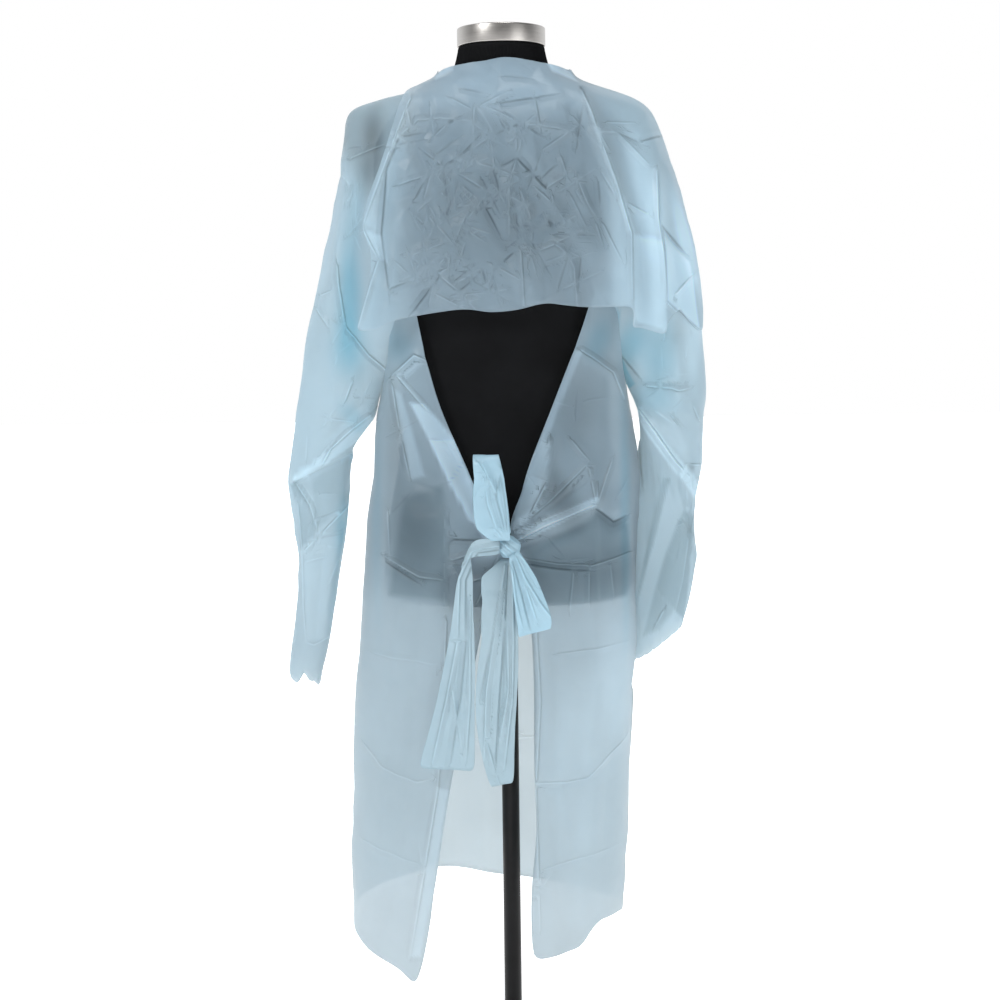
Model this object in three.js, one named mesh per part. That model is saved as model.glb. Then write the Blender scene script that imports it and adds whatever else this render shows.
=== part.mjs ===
// Over-the-head isolation gown of thin plastic film, on a limbless dress form with a round foot.
// Millimetres, +Z up. The origin is the middle of the foot's underside, on the pole's axis.
// The open back of the gown faces -Y, so its left sleeve is on -X and its right sleeve on +X.
import * as THREE from 'three';

// ---- driving sizes -------------------------------------------------------------------------
const WALL = 1.2;               // film wall of every cloth piece
const SEAM_GAP = 0.3;           // space between neighbouring pieces
const OVAL = 2.2;               // roundness power of the garment's cross-sections

const UNDERARM = 1036;          // level where the body's side meets the sleeve
const SIDE_SHARE = 0.2;         // share of the body's columns in each back wing
const WING_COLUMNS = 12;
const FRONT_COLUMNS = 30;
const SKIRT_ROWS = 17;

const KNOT = { x: 2, y: -135.9, z: 858, width: 31, depth: 30, height: 30 };

const POLE_RADIUS = 12;
const BASE_RADIUS = 165;
const BASE_THICK = 9;
const COLLAR_RADIUS = 25;
const COLLAR_HEIGHT = 62;
const TORSO_BOTTOM = 772;
const NECK_BOTTOM = 1477;
const NECK_TOP = 1514.5;
const CAP_TOP = 1539;
const NECK_RADIUS = 58;
const NECK_FLARE = 9.5;           // how much wider the neck is at its foot
const CAP_RADIUS = 59;

// ---- tables: one row for each section or fold ------------------------------------------------
// Body: half-outline extents at each level, with the two free edges of the open back.
const BODY_SECTIONS = [
  { level: 250, left: -222, right: 150, front: 134, back: 124, wingLeft: -132, wingRight: 36 },
  { level: 300, left: -222, right: 152, front: 134, back: 124, wingLeft: -120, wingRight: 25 },
  { level: 342, left: -221, right: 154, front: 133, back: 124, wingLeft: -113, wingRight: 24 },
  { level: 400, left: -220, right: 158, front: 132, back: 125, wingLeft: -104, wingRight: 24 },
  { level: 470, left: -219, right: 164, front: 130, back: 126, wingLeft: -92, wingRight: 33 },
  { level: 570, left: -217, right: 171, front: 128, back: 127, wingLeft: -73, wingRight: 30 },
  { level: 686, left: -206, right: 173, front: 126, back: 128, wingLeft: -48, wingRight: 31 },
  { level: 774, left: -200, right: 174, front: 124, back: 128, wingLeft: -30, wingRight: 26 },
  { level: 840, left: -194, right: 176, front: 120, back: 128, wingLeft: -16, wingRight: 20 },
  { level: 866, left: -192, right: 177, front: 118, back: 127, wingLeft: -11, wingRight: 15 },
  { level: 900, left: -188, right: 178, front: 116, back: 122, wingLeft: -29, wingRight: 12 },
  { level: 940, left: -182, right: 178, front: 113, back: 114, wingLeft: -43, wingRight: 20 },
  { level: 983, left: -177, right: 176, front: 112, back: 107, wingLeft: -62, wingRight: 36 },
  { level: 1036, left: -172, right: 168, front: 114, back: 105, wingLeft: -86, wingRight: 59 },
  { level: 1100, left: -173, right: 170, front: 118, back: 106, wingLeft: -104, wingRight: 84 },
  { level: 1160, left: -178, right: 177, front: 121, back: 107, wingLeft: -117, wingRight: 108 },
  { level: 1210, left: -184, right: 184, front: 122, back: 107, wingLeft: -124, wingRight: 122 },
  { level: 1290, left: -192, right: 192, front: 118, back: 110, wingLeft: -130, wingRight: 130 },
  { level: 1350, left: -196, right: 196, front: 111, back: 105, wingLeft: -130, wingRight: 130 },
  { level: 1400, left: -198, right: 198, front: 101, back: 97, wingLeft: -130, wingRight: 130 },
  { level: 1425, left: -197, right: 196, front: 94, back: 90, wingLeft: -130, wingRight: 130 },
  { level: 1440, left: -188, right: 186, front: 88, back: 84, wingLeft: -130, wingRight: 130 },
  { level: 1448, left: -169, right: 165, front: 84, back: 80, wingLeft: -130, wingRight: 130 },
  { level: 1458, left: -131, right: 135, front: 78, back: 75, wingLeft: -120, wingRight: 120 },
  { level: 1467, left: -109, right: 108, front: 74, back: 71, wingLeft: -100, wingRight: 100 },
  { level: 1476, left: -88, right: 96, front: 71, back: 68, wingLeft: -80, wingRight: 80 },
  { level: 1494, left: -84, right: 90, front: 69, back: 64, wingLeft: -80, wingRight: 80 },
];

// Armhole: a straight line in the front view from the shoulder to below the arm. The front panel's
// edge follows it down to `join`, and then curves out to the body's side.
const ARMHOLE = { topX: 127, topZ: 1461, lowX: 163, lowZ: 1080, join: 1120 };
const UNDERARM_CURVE = [
  { level: 1036, edge: 175 },
  { level: 1060, edge: 167 },
  { level: 1085, edge: 160.5 },
  { level: 1120, edge: 157.5 },
];

// Back wing's outer edge above the underarm, in degrees round from the front's middle.
const WING_ARMHOLE = [
  { level: 1036, reach: 90 },
  { level: 1060, reach: 104 },
  { level: 1085, reach: 113 },
  { level: 1120, reach: 119 },
  { level: 1200, reach: 129 },
];

// Hem height round the body, from the left back edge (0) over the front to the right one (1).
const HEM = [
  { around: 0, height: 262 },
  { around: 0.03, height: 281 },
  { around: 0.09, height: 299 },
  { around: 0.15, height: 317 },
  { around: 0.2, height: 332 },
  { around: 0.35, height: 345 },
  { around: 0.47, height: 349 },
  { around: 0.62, height: 326 },
  { around: 0.8, height: 335 },
  { around: 0.86, height: 340 },
  { around: 0.905, height: 340 },
  { around: 0.93, height: 309 },
  { around: 0.97, height: 305 },
  { around: 1, height: 299 },
];

// Neckline of the front panel, from the left shoulder (0) to the right one (1).
const FRONT_NECKLINE = [
  { across: 0, height: 1487 },
  { across: 0.12, height: 1478 },
  { across: 0.3, height: 1447 },
  { across: 0.5, height: 1434 },
  { across: 0.7, height: 1447 },
  { across: 0.88, height: 1478 },
  { across: 1, height: 1487 },
];

// Levels of the bodice rows, as shares of the way from the underarm to the neckline.
const BODICE_STEPS = [0.12, 0.26, 0.42, 0.57, 0.7, 0.81, 0.885, 0.93, 0.958, 0.98, 1];
const WING_TOP_STEPS = [0.28, 0.58, 1];
const WING_TOP = 1196;

// Folds of the body: a ridge (lift > 0) or trough between two places, seen from behind.
const BODY_FOLDS = [
  { side: -1, fromX: 24, fromZ: 862, toX: 92, toZ: 905, width: 9, lift: 7 },
  { side: -1, fromX: 26, fromZ: 880, toX: 98, toZ: 962, width: 10, lift: 6 },
  { side: -1, fromX: 24, fromZ: 870, toX: 104, toZ: 930, width: 8, lift: -5 },
  { side: -1, fromX: -30, fromZ: 882, toX: -104, toZ: 960, width: 11, lift: 7 },
  { side: -1, fromX: -26, fromZ: 866, toX: -120, toZ: 880, width: 12, lift: 6 },
  { side: -1, fromX: -30, fromZ: 874, toX: -110, toZ: 915, width: 9, lift: -5 },
  { side: -1, fromX: -24, fromZ: 840, toX: -92, toZ: 700, width: 13, lift: 6 },
  { side: -1, fromX: 30, fromZ: 836, toX: 66, toZ: 560, width: 12, lift: 7 },
  { side: -1, fromX: 38, fromZ: 830, toX: 118, toZ: 640, width: 12, lift: -6 },
  { side: -1, fromX: -110, fromZ: 560, toX: -172, toZ: 320, width: 20, lift: 8 },
  { side: -1, fromX: -84, fromZ: 540, toX: -112, toZ: 330, width: 12, lift: 8 },
  { side: -1, fromX: 44, fromZ: 520, toX: 56, toZ: 305, width: 14, lift: 9 },
  { side: -1, fromX: 84, fromZ: 560, toX: 82, toZ: 330, width: 9, lift: -7 },
  { side: 1, fromX: -96, fromZ: 900, toX: -110, toZ: 340, width: 40, lift: 30 },
  { side: 1, fromX: -30, fromZ: 820, toX: -18, toZ: 330, width: 26, lift: -12 },
  { side: 1, fromX: 52, fromZ: 960, toX: 66, toZ: 330, width: 34, lift: 16 },
  { side: 1, fromX: 118, fromZ: 900, toX: 122, toZ: 340, width: 20, lift: -8 },
  { side: 1, fromX: -120, fromZ: 1380, toX: -64, toZ: 1120, width: 18, lift: 7 },
  { side: 1, fromX: 118, fromZ: 1380, toX: 52, toZ: 1140, width: 18, lift: 7 },
];

// Back yoke: reach to each side at each level; where it meets the crest it is at the shoulder.
const YOKE_SECTIONS = [
  { level: 1110, crestLeft: 262, crestRight: 274, depth: 113, left: -198, right: 264 },
  { level: 1140, crestLeft: 258, crestRight: 273, depth: 113, left: -195, right: 265 },
  { level: 1170, crestLeft: 254, crestRight: 271, depth: 113, left: -186, right: 266 },
  { level: 1205, crestLeft: 249, crestRight: 266, depth: 113, left: -177, right: 262 },
  { level: 1236, crestLeft: 245, crestRight: 260, depth: 112, left: -172, right: 257 },
  { level: 1276, crestLeft: 238, crestRight: 251, depth: 111, left: -188, right: 249 },
  { level: 1322, crestLeft: 230, crestRight: 238, depth: 108, left: -172, right: 237 },
  { level: 1368, crestLeft: 221, crestRight: 223, depth: 103, left: -154, right: 222.5 },
  { level: 1400, crestLeft: 213, crestRight: 211, depth: 97, left: -143, right: 211 },
  { level: 1428, crestLeft: 203, crestRight: 199, depth: 90, left: -134, right: 199 },
  { level: 1440, crestLeft: 188, crestRight: 188, depth: 85, left: -130, right: 188 },
  { level: 1448, crestLeft: 169, crestRight: 167, depth: 81, left: -128, right: 167 },
  { level: 1458, crestLeft: 131, crestRight: 135, depth: 76, left: -125, right: 135 },
  { level: 1467, crestLeft: 109, crestRight: 108, depth: 72, left: -109, right: 108 },
  { level: 1476, crestLeft: 88, crestRight: 96, depth: 69, left: -88, right: 96 },
  { level: 1494, crestLeft: 84, crestRight: 90, depth: 65, left: -84, right: 90 },
];
const YOKE_COLUMNS = 38;
const YOKE_STEPS = [0, 0.022, 0.045, 0.075, 0.11, 0.155, 0.21, 0.28, 0.37, 0.47, 0.58, 0.7, 0.8, 0.9, 1];

// Back neckline and free lower edge of the yoke, by place across it.
const YOKE_NECKLINE = [
  { x: -80, height: 1480 },
  { x: -65, height: 1484 },
  { x: -27, height: 1488 },
  { x: 7, height: 1492 },
  { x: 42, height: 1487 },
  { x: 64, height: 1484 },
  { x: 84, height: 1480 },
];
const YOKE_EDGE = [
  { x: -198, height: 1139 },
  { x: -158, height: 1141 },
  { x: -150, height: 1150 },
  { x: -125, height: 1157 },
  { x: -49, height: 1166 },
  { x: -32, height: 1161 },
  { x: 20, height: 1165 },
  { x: 37, height: 1173 },
  { x: 71, height: 1169 },
  { x: 109, height: 1166 },
  { x: 166, height: 1167 },
  { x: 175, height: 1140 },
  { x: 194, height: 1135 },
  { x: 212, height: 1131 },
  { x: 219, height: 1166 },
  { x: 266, height: 1134 },
];
const YOKE_FOLDS = [
  { fromX: -128, fromZ: 1440, toX: -183, toZ: 1280, width: 10, lift: 11 },
  { fromX: -134, fromZ: 1392, toX: -155, toZ: 1146, width: 9, lift: 10 },
  { fromX: -146, fromZ: 1340, toX: -170, toZ: 1180, width: 8, lift: -7 },
  { fromX: -176, fromZ: 1212, toX: -188, toZ: 1140, width: 9, lift: 7 },
  { fromX: -112, fromZ: 1400, toX: -118, toZ: 1160, width: 15, lift: -5 },
  { fromX: -92, fromZ: 1330, toX: -70, toZ: 1165, width: 16, lift: 6 },
  { fromX: -34, fromZ: 1420, toX: -12, toZ: 1170, width: 18, lift: 5 },
  { fromX: 10, fromZ: 1330, toX: 46, toZ: 1170, width: 14, lift: 7 },
  { fromX: 78, fromZ: 1360, toX: 98, toZ: 1168, width: 17, lift: -5 },
  { fromX: 116, fromZ: 1434, toX: 147, toZ: 1336, width: 10, lift: 9 },
  { fromX: 146, fromZ: 1340, toX: 168, toZ: 1168, width: 10, lift: 11 },
  { fromX: 158, fromZ: 1390, toX: 188, toZ: 1150, width: 10, lift: -6 },
  { fromX: 200, fromZ: 1355, toX: 213, toZ: 1134, width: 9, lift: 9 },
  { fromX: 226, fromZ: 1300, toX: 232, toZ: 1160, width: 10, lift: -5 },
];

// Sleeves: sections from the armhole to the cuff. The outer and inner ends lie in the front view,
// near and far are the depths of the back and the front layer.
const LEFT_SLEEVE = [
  { outX: -127, outZ: 1461, inX: -163, inZ: 1080, near: -80, far: 84 },
  { outX: -160, outZ: 1452, inX: -165, inZ: 1073, near: -78, far: 84 },
  { outX: -190, outZ: 1440, inX: -168, inZ: 1064, near: -72, far: 76 },
  { outX: -207, outZ: 1412, inX: -172, inZ: 1054, near: -64, far: 64 },
  { outX: -220, outZ: 1352, inX: -176, inZ: 1044, near: -57, far: 54 },
  { outX: -234, outZ: 1282, inX: -178, inZ: 1033, near: -53, far: 46 },
  { outX: -255, outZ: 1186, inX: -181, inZ: 1020, near: -51, far: 41 },
  { outX: -273, outZ: 1099, inX: -188, inZ: 1006, near: -49, far: 38 },
  { outX: -286, outZ: 1020, inX: -199, inZ: 994, near: -47, far: 36 },
  { outX: -296, outZ: 945, inX: -206, inZ: 986, near: -44, far: 34 },
  { outX: -300, outZ: 923, inX: -208, inZ: 968, near: -20, far: 38 },
  { outX: -297, outZ: 872, inX: -213, inZ: 905, near: -17, far: 38 },
  { outX: -287, outZ: 828, inX: -225, inZ: 832, near: -19, far: 34 },
  { outX: -289, outZ: 785, inX: -234, inZ: 786, near: -19, far: 30 },
  { outX: -296, outZ: 736, inX: -240, inZ: 738, near: -17, far: 27 },
  { outX: -301, outZ: 690, inX: -250, inZ: 694, near: -14, far: 24 },
  { outX: -300, outZ: 664, inX: -261, inZ: 662, near: -12, far: 22 },
];
const RIGHT_SLEEVE = [
  { outX: 127.3, outZ: 1457.5, inX: 163, inZ: 1080, near: -78, far: 84 },
  { outX: 162, outZ: 1446, inX: 165, inZ: 1078, near: -76, far: 84 },
  { outX: 186, outZ: 1434, inX: 168, inZ: 1069, near: -70, far: 76 },
  { outX: 203, outZ: 1404, inX: 171, inZ: 1060, near: -62, far: 64 },
  { outX: 224, outZ: 1346, inX: 174, inZ: 1050, near: -58, far: 54 },
  { outX: 242, outZ: 1284, inX: 177, inZ: 1040, near: -55, far: 47 },
  { outX: 257, outZ: 1214, inX: 179, inZ: 1031, near: -53, far: 42 },
  { outX: 266, outZ: 1152, inX: 182, inZ: 1024, near: -52, far: 40 },
  { outX: 277, outZ: 1087, inX: 183.5, inZ: 1019, near: -50, far: 39 },
  { outX: 273, outZ: 1036, inX: 184, inZ: 1013, near: -49, far: 40 },
  { outX: 264, outZ: 1010, inX: 184.5, inZ: 1007, near: -47, far: 42 },
  { outX: 270, outZ: 955, inX: 185, inZ: 1000, near: -45, far: 44 },
  { outX: 262, outZ: 905, inX: 185.5, inZ: 990, near: -40, far: 46 },
  { outX: 260, outZ: 884, inX: 184.5, inZ: 975, near: -8, far: 50 },
  { outX: 261, outZ: 850, inX: 182.5, inZ: 918, near: -4, far: 50 },
  { outX: 259, outZ: 808, inX: 181.5, inZ: 860, near: -5, far: 46 },
  { outX: 254, outZ: 776, inX: 180, inZ: 800, near: -6, far: 42 },
  { outX: 248, outZ: 750, inX: 178, inZ: 738, near: -6, far: 38 },
  { outX: 245, outZ: 735, inX: 177, inZ: 678, near: -5, far: 34 },
];
const SLEEVE_POINTS = 18;
const EDGE_STEP = 1.5;            // the front panel's armhole edge lies this far inside the sleeve's
const FLUSH_START = 1105;         // above this level the sleeve's edge turns flush with the panel
const FLUSH_RISE = 40;

// Waist ties: flat straps of film. half is half the strap's width as gathered there, slant turns
// the width from the level, in degrees, and ripple is the height of its lengthwise pleats.
const UPPER_LOOP = [
  { x: -2, y: -132, z: 873.8, half: 10, slant: 0, ripple: 2.2 },
  { x: -9, y: -132, z: 912, half: 14, slant: -3, ripple: 2 },
  { x: -18, y: -133, z: 948, half: 17, slant: -6, ripple: 1.4 },
  { x: -24, y: -137, z: 974, half: 16.5, slant: -4, ripple: 0.8 },
  { x: -25, y: -145, z: 981, half: 15, slant: 0, ripple: 0.4 },
  { x: -24, y: -153, z: 974, half: 16, slant: 3, ripple: 0.8 },
  { x: -18, y: -157, z: 948, half: 17.5, slant: -4, ripple: 1.6 },
  { x: -10, y: -157, z: 908, half: 15, slant: -4, ripple: 2.2 },
  { x: -3, y: -152, z: 868, half: 10, slant: 0, ripple: 2.2 },
];
const LOWER_LOOP = [
  { x: 7.3, y: -148.7, z: 851.4, half: 8, slant: 32, ripple: 1.8 },
  { x: 20, y: -168, z: 820, half: 16, slant: 16, ripple: 2.2 },
  { x: 27, y: -171, z: 792, half: 20, slant: 8, ripple: 2.2 },
  { x: 33, y: -170, z: 766, half: 23, slant: 14, ripple: 1.6 },
  { x: 33, y: -163, z: 750, half: 22, slant: 16, ripple: 1 },
  { x: 33, y: -154, z: 747, half: 20, slant: 12, ripple: 0.8 },
  { x: 30, y: -150, z: 772, half: 18, slant: 10, ripple: 1.2 },
  { x: 25, y: -150, z: 806, half: 13, slant: 16, ripple: 1.6 },
  { x: 17, y: -147, z: 838, half: 8, slant: 26, ripple: 1.6 },
];
const LEFT_TAIL = [
  { x: -10.5, y: -146.6, z: 859, half: 9, slant: 90, ripple: 1.6 },
  { x: -30, y: -155, z: 857, half: 13, slant: 84, ripple: 2.4 },
  { x: -47, y: -158, z: 850, half: 14, slant: 60, ripple: 2.4 },
  { x: -55, y: -155, z: 832, half: 12, slant: 30, ripple: 2.2 },
  { x: -58, y: -150, z: 800, half: 11.5, slant: 4, ripple: 2.2 },
  { x: -60, y: -147, z: 760, half: 14, slant: 0, ripple: 2.2 },
  { x: -64, y: -145, z: 710, half: 20, slant: 0, ripple: 2.4 },
  { x: -71, y: -144, z: 656, half: 25, slant: -3, ripple: 2.2 },
  { x: -79, y: -143, z: 604, half: 29, slant: -4, ripple: 1.8 },
  { x: -84, y: -142, z: 566, half: 32, slant: -5, ripple: 1.4 },
];
const MIDDLE_TAIL = [
  { x: 1, y: -136.4, z: 842.6, half: 8, slant: 0, ripple: 1.8 },
  { x: -5, y: -147, z: 808, half: 14, slant: 0, ripple: 2.2 },
  { x: -9, y: -144.5, z: 766, half: 20, slant: 0, ripple: 2.6 },
  { x: -13, y: -143.5, z: 716, half: 25, slant: 0, ripple: 2.8 },
  { x: -17, y: -143, z: 668, half: 27, slant: 0, ripple: 2.6 },
  { x: -19, y: -142.5, z: 622, half: 25, slant: 0, ripple: 2.4 },
  { x: -16, y: -142, z: 580, half: 21, slant: 4, ripple: 2 },
  { x: -12, y: -142, z: 545, half: 16, slant: 10, ripple: 1.6 },
];
const STRAP_COLUMNS = 8;

// Dress form: oval sections from the flat bottom to the neck.
const TORSO_SECTIONS = [
  { level: 772, half: 162, back: 106, front: 92 },
  { level: 779, half: 168, back: 112, front: 97 },
  { level: 815, half: 171, back: 115, front: 99 },
  { level: 870, half: 167, back: 111, front: 98 },
  { level: 945, half: 149, back: 97, front: 92 },
  { level: 1020, half: 138, back: 88, front: 90 },
  { level: 1100, half: 146, back: 93, front: 97 },
  { level: 1200, half: 160, back: 99, front: 106 },
  { level: 1290, half: 171, back: 100, front: 102 },
  { level: 1350, half: 176, back: 94, front: 92 },
  { level: 1390, half: 174, back: 86, front: 81 },
  { level: 1418, half: 155, back: 74, front: 70 },
  { level: 1440, half: 137, back: 66, front: 63 },
  { level: 1454, half: 119, back: 60, front: 60 },
  { level: 1464.2, half: 110, back: 62, front: 61 },
  { level: 1469, half: 98, back: 64, front: 63 },
  { level: 1473, half: 85, back: 66, front: 65 },
  { level: 1477, half: 71, back: 67, front: 67 },
];
const TORSO_SIDES = 30;
const ROUND_SIDES = 32;

// ---- materials -------------------------------------------------------------------------------
const film = new THREE.MeshStandardMaterial({ color: 0xa9cfdc, roughness: 0.35, metalness: 0 });
const jersey = new THREE.MeshStandardMaterial({ color: 0x1b1c20, roughness: 0.85, metalness: 0 });
const steel = new THREE.MeshStandardMaterial({ color: 0xc4c1bb, roughness: 0.32, metalness: 1 });
const blackPaint = new THREE.MeshStandardMaterial({ color: 0x101113, roughness: 0.4, metalness: 0.2 });

// ---- small helpers ---------------------------------------------------------------------------
const mix = (a, b, share) => a + (b - a) * share;
const clamp = (value, low, high) => Math.min(high, Math.max(low, value));
const radians = THREE.MathUtils.degToRad;
const signedPower = (value, power) => Math.sign(value) * Math.abs(value) ** power;

// Slope of a table's column at one row, held back so that the curve never overshoots.
function slopeAt(rows, by, name, index) {
  if (index === 0 || index === rows.length - 1) return 0;
  const before = (rows[index][name] - rows[index - 1][name]) / (rows[index][by] - rows[index - 1][by]);
  const after = (rows[index + 1][name] - rows[index][name]) / (rows[index + 1][by] - rows[index][by]);
  if (before * after <= 0) return 0;
  return (2 * before * after) / (before + after);
}

// Smooth value of a named column where the column `by` has the value `at`.
function sample(rows, by, at, name) {
  const place = clamp(at, rows[0][by], rows[rows.length - 1][by]);
  let index = rows.findIndex((row, i) => i > 0 && place <= row[by]) - 1;
  index = clamp(index, 0, rows.length - 2);
  const span = rows[index + 1][by] - rows[index][by];
  const share = (place - rows[index][by]) / span;
  const square = share * share;
  const cube = square * share;
  return (
    (2 * cube - 3 * square + 1) * rows[index][name] +
    (cube - 2 * square + share) * span * slopeAt(rows, by, name, index) +
    (3 * square - 2 * cube) * rows[index + 1][name] +
    (cube - square) * span * slopeAt(rows, by, name, index + 1)
  );
}

// Height of one straight fold at a place: soft across, fading at both of its ends.
function foldLift(fold, x, z) {
  const runX = fold.toX - fold.fromX;
  const runZ = fold.toZ - fold.fromZ;
  const length = Math.hypot(runX, runZ);
  const along = ((x - fold.fromX) * runX + (z - fold.fromZ) * runZ) / (length * length);
  const aside = Math.abs((x - fold.fromX) * runZ - (z - fold.fromZ) * runX) / length;
  const inside = clamp(along, 0, 1);
  const beyond = Math.abs(along - inside) * length;
  const fade = Math.exp(-((beyond / 30) ** 2)) * Math.min(1, 0.25 + along * 2.5);
  return along < -0.1 ? 0 : fold.lift * fade * Math.exp(-((aside / fold.width) ** 2));
}

// Closed wall of one thickness from a sheet of points and quads; free edges get a rim.
function wallOf(points, quads, thickness) {
  const normals = points.map(() => new THREE.Vector3());
  for (const [a, b, c, d] of quads) {
    const first = new THREE.Vector3().subVectors(points[c], points[a]);
    const second = new THREE.Vector3().subVectors(points[d], points[b]);
    const normal = first.cross(second);
    for (const corner of [a, b, c, d]) normals[corner].add(normal);
  }
  const positions = [];
  for (const side of [0.5, -0.5]) {
    points.forEach((point, i) => {
      const moved = point.clone().addScaledVector(normals[i].clone().normalize(), side * thickness);
      positions.push(moved.x, moved.y, moved.z);
    });
  }
  const count = points.length;
  const triangles = [];
  const edges = new Map();
  for (const quad of quads) {
    const [a, b, c, d] = quad;
    triangles.push(a, b, c, a, c, d);
    triangles.push(count + a, count + c, count + b, count + a, count + d, count + c);
    quad.forEach((start, i) => {
      const end = quad[(i + 1) % 4];
      const back = `${end}_${start}`;
      if (edges.has(back)) edges.delete(back);
      else edges.set(`${start}_${end}`, [start, end]);
    });
  }
  for (const [start, end] of edges.values()) {
    triangles.push(start, count + start, end, end, count + start, count + end);
  }
  return solidOf(positions, triangles);
}

// Indexed geometry whose faces point out.
function solidOf(positions, triangles) {
  let volume = 0;
  const corner = (i) => new THREE.Vector3(positions[3 * i], positions[3 * i + 1], positions[3 * i + 2]);
  for (let t = 0; t < triangles.length; t += 3) {
    const a = corner(triangles[t]);
    volume += a.dot(corner(triangles[t + 1]).cross(corner(triangles[t + 2])));
  }
  if (volume < 0) triangles.reverse();
  const geometry = new THREE.BufferGeometry();
  geometry.setAttribute('position', new THREE.Float32BufferAttribute(positions, 3));
  geometry.setIndex(triangles);
  geometry.computeVertexNormals();
  return geometry;
}

// Quads of a regular grid; a wrapped grid joins its last column to its first.
function gridQuads(rows, columns, wrapped = false) {
  const quads = [];
  const across = wrapped ? columns : columns - 1;
  for (let r = 0; r + 1 < rows; r++) {
    for (let c = 0; c < across; c++) {
      const next = (c + 1) % columns;
      quads.push([r * columns + c, r * columns + next, (r + 1) * columns + next, (r + 1) * columns + c]);
    }
  }
  return quads;
}

// ---- body: front panel that wraps round to two back wings ---------------------------------------
// Point of the body's oval at a level; turn is in radians from the front's middle, + to the right.
function bodyOval(turn, level) {
  const left = sample(BODY_SECTIONS, 'level', level, 'left');
  const right = sample(BODY_SECTIONS, 'level', level, 'right');
  const middle = (left + right) / 2;
  const half = (right - left) / 2;
  const depth = Math.cos(turn) > 0
    ? sample(BODY_SECTIONS, 'level', level, 'front')
    : sample(BODY_SECTIONS, 'level', level, 'back');
  const x = middle + half * signedPower(Math.sin(turn), 2 / OVAL);
  const y = depth * signedPower(Math.cos(turn), 2 / OVAL);
  return new THREE.Vector3(x, y, level);
}

// Turn of a place x on the back of the oval, counted on past the side.
function turnOnBack(x, level, side) {
  const left = sample(BODY_SECTIONS, 'level', level, 'left');
  const right = sample(BODY_SECTIONS, 'level', level, 'right');
  const share = clamp((x - (left + right) / 2) / ((right - left) / 2), -1, 1);
  return side * Math.PI - Math.asin(signedPower(share, OVAL / 2));
}

function foldedBody(turn, level) {
  const point = bodyOval(turn, level);
  const side = Math.sign(Math.cos(turn));
  const facing = Math.abs(Math.cos(turn)) ** 0.5;
  for (const fold of BODY_FOLDS) {
    if (fold.side === side) point.y += side * facing * foldLift(fold, point.x, point.z);
  }
  return point;
}

function wingTurn(side, share, level) {
  const name = side < 0 ? 'wingLeft' : 'wingRight';
  const free = turnOnBack(sample(BODY_SECTIONS, 'level', level, name), level, side);
  const outer = level <= UNDERARM ? 90 : sample(WING_ARMHOLE, 'level', level, 'reach');
  return mix(free, side * radians(outer), share);
}

// One row of the whole way round below the underarm.
function aroundRow(levelAt) {
  const row = [];
  const total = 2 * WING_COLUMNS + FRONT_COLUMNS;
  for (let c = 0; c <= total; c++) {
    let around;
    let turnAt;
    if (c <= WING_COLUMNS) {
      const share = c / WING_COLUMNS;
      around = share * SIDE_SHARE;
      turnAt = (level) => wingTurn(-1, share, level);
    } else if (c >= WING_COLUMNS + FRONT_COLUMNS) {
      const share = (total - c) / WING_COLUMNS;
      around = 1 - share * SIDE_SHARE;
      turnAt = (level) => wingTurn(1, share, level);
    } else {
      const share = (c - WING_COLUMNS) / FRONT_COLUMNS;
      around = mix(SIDE_SHARE, 1 - SIDE_SHARE, share);
      turnAt = () => radians(mix(-90, 90, share));
    }
    const level = levelAt(around);
    row.push(foldedBody(turnAt(level), level));
  }
  return row;
}

// How far round from its middle the front panel reaches above the underarm.
function armholeTurn(side, level) {
  const down = (ARMHOLE.topZ - level) / (ARMHOLE.topZ - ARMHOLE.lowZ);
  const edge = level > ARMHOLE.join
    ? mix(ARMHOLE.topX, ARMHOLE.lowX, down) - EDGE_STEP
    : sample(UNDERARM_CURVE, 'level', level, 'edge');
  const left = sample(BODY_SECTIONS, 'level', level, 'left');
  const right = sample(BODY_SECTIONS, 'level', level, 'right');
  const share = clamp((side * edge - (left + right) / 2) / ((right - left) / 2), -1, 1);
  return Math.asin(Math.abs(share) ** (OVAL / 2));
}

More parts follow.
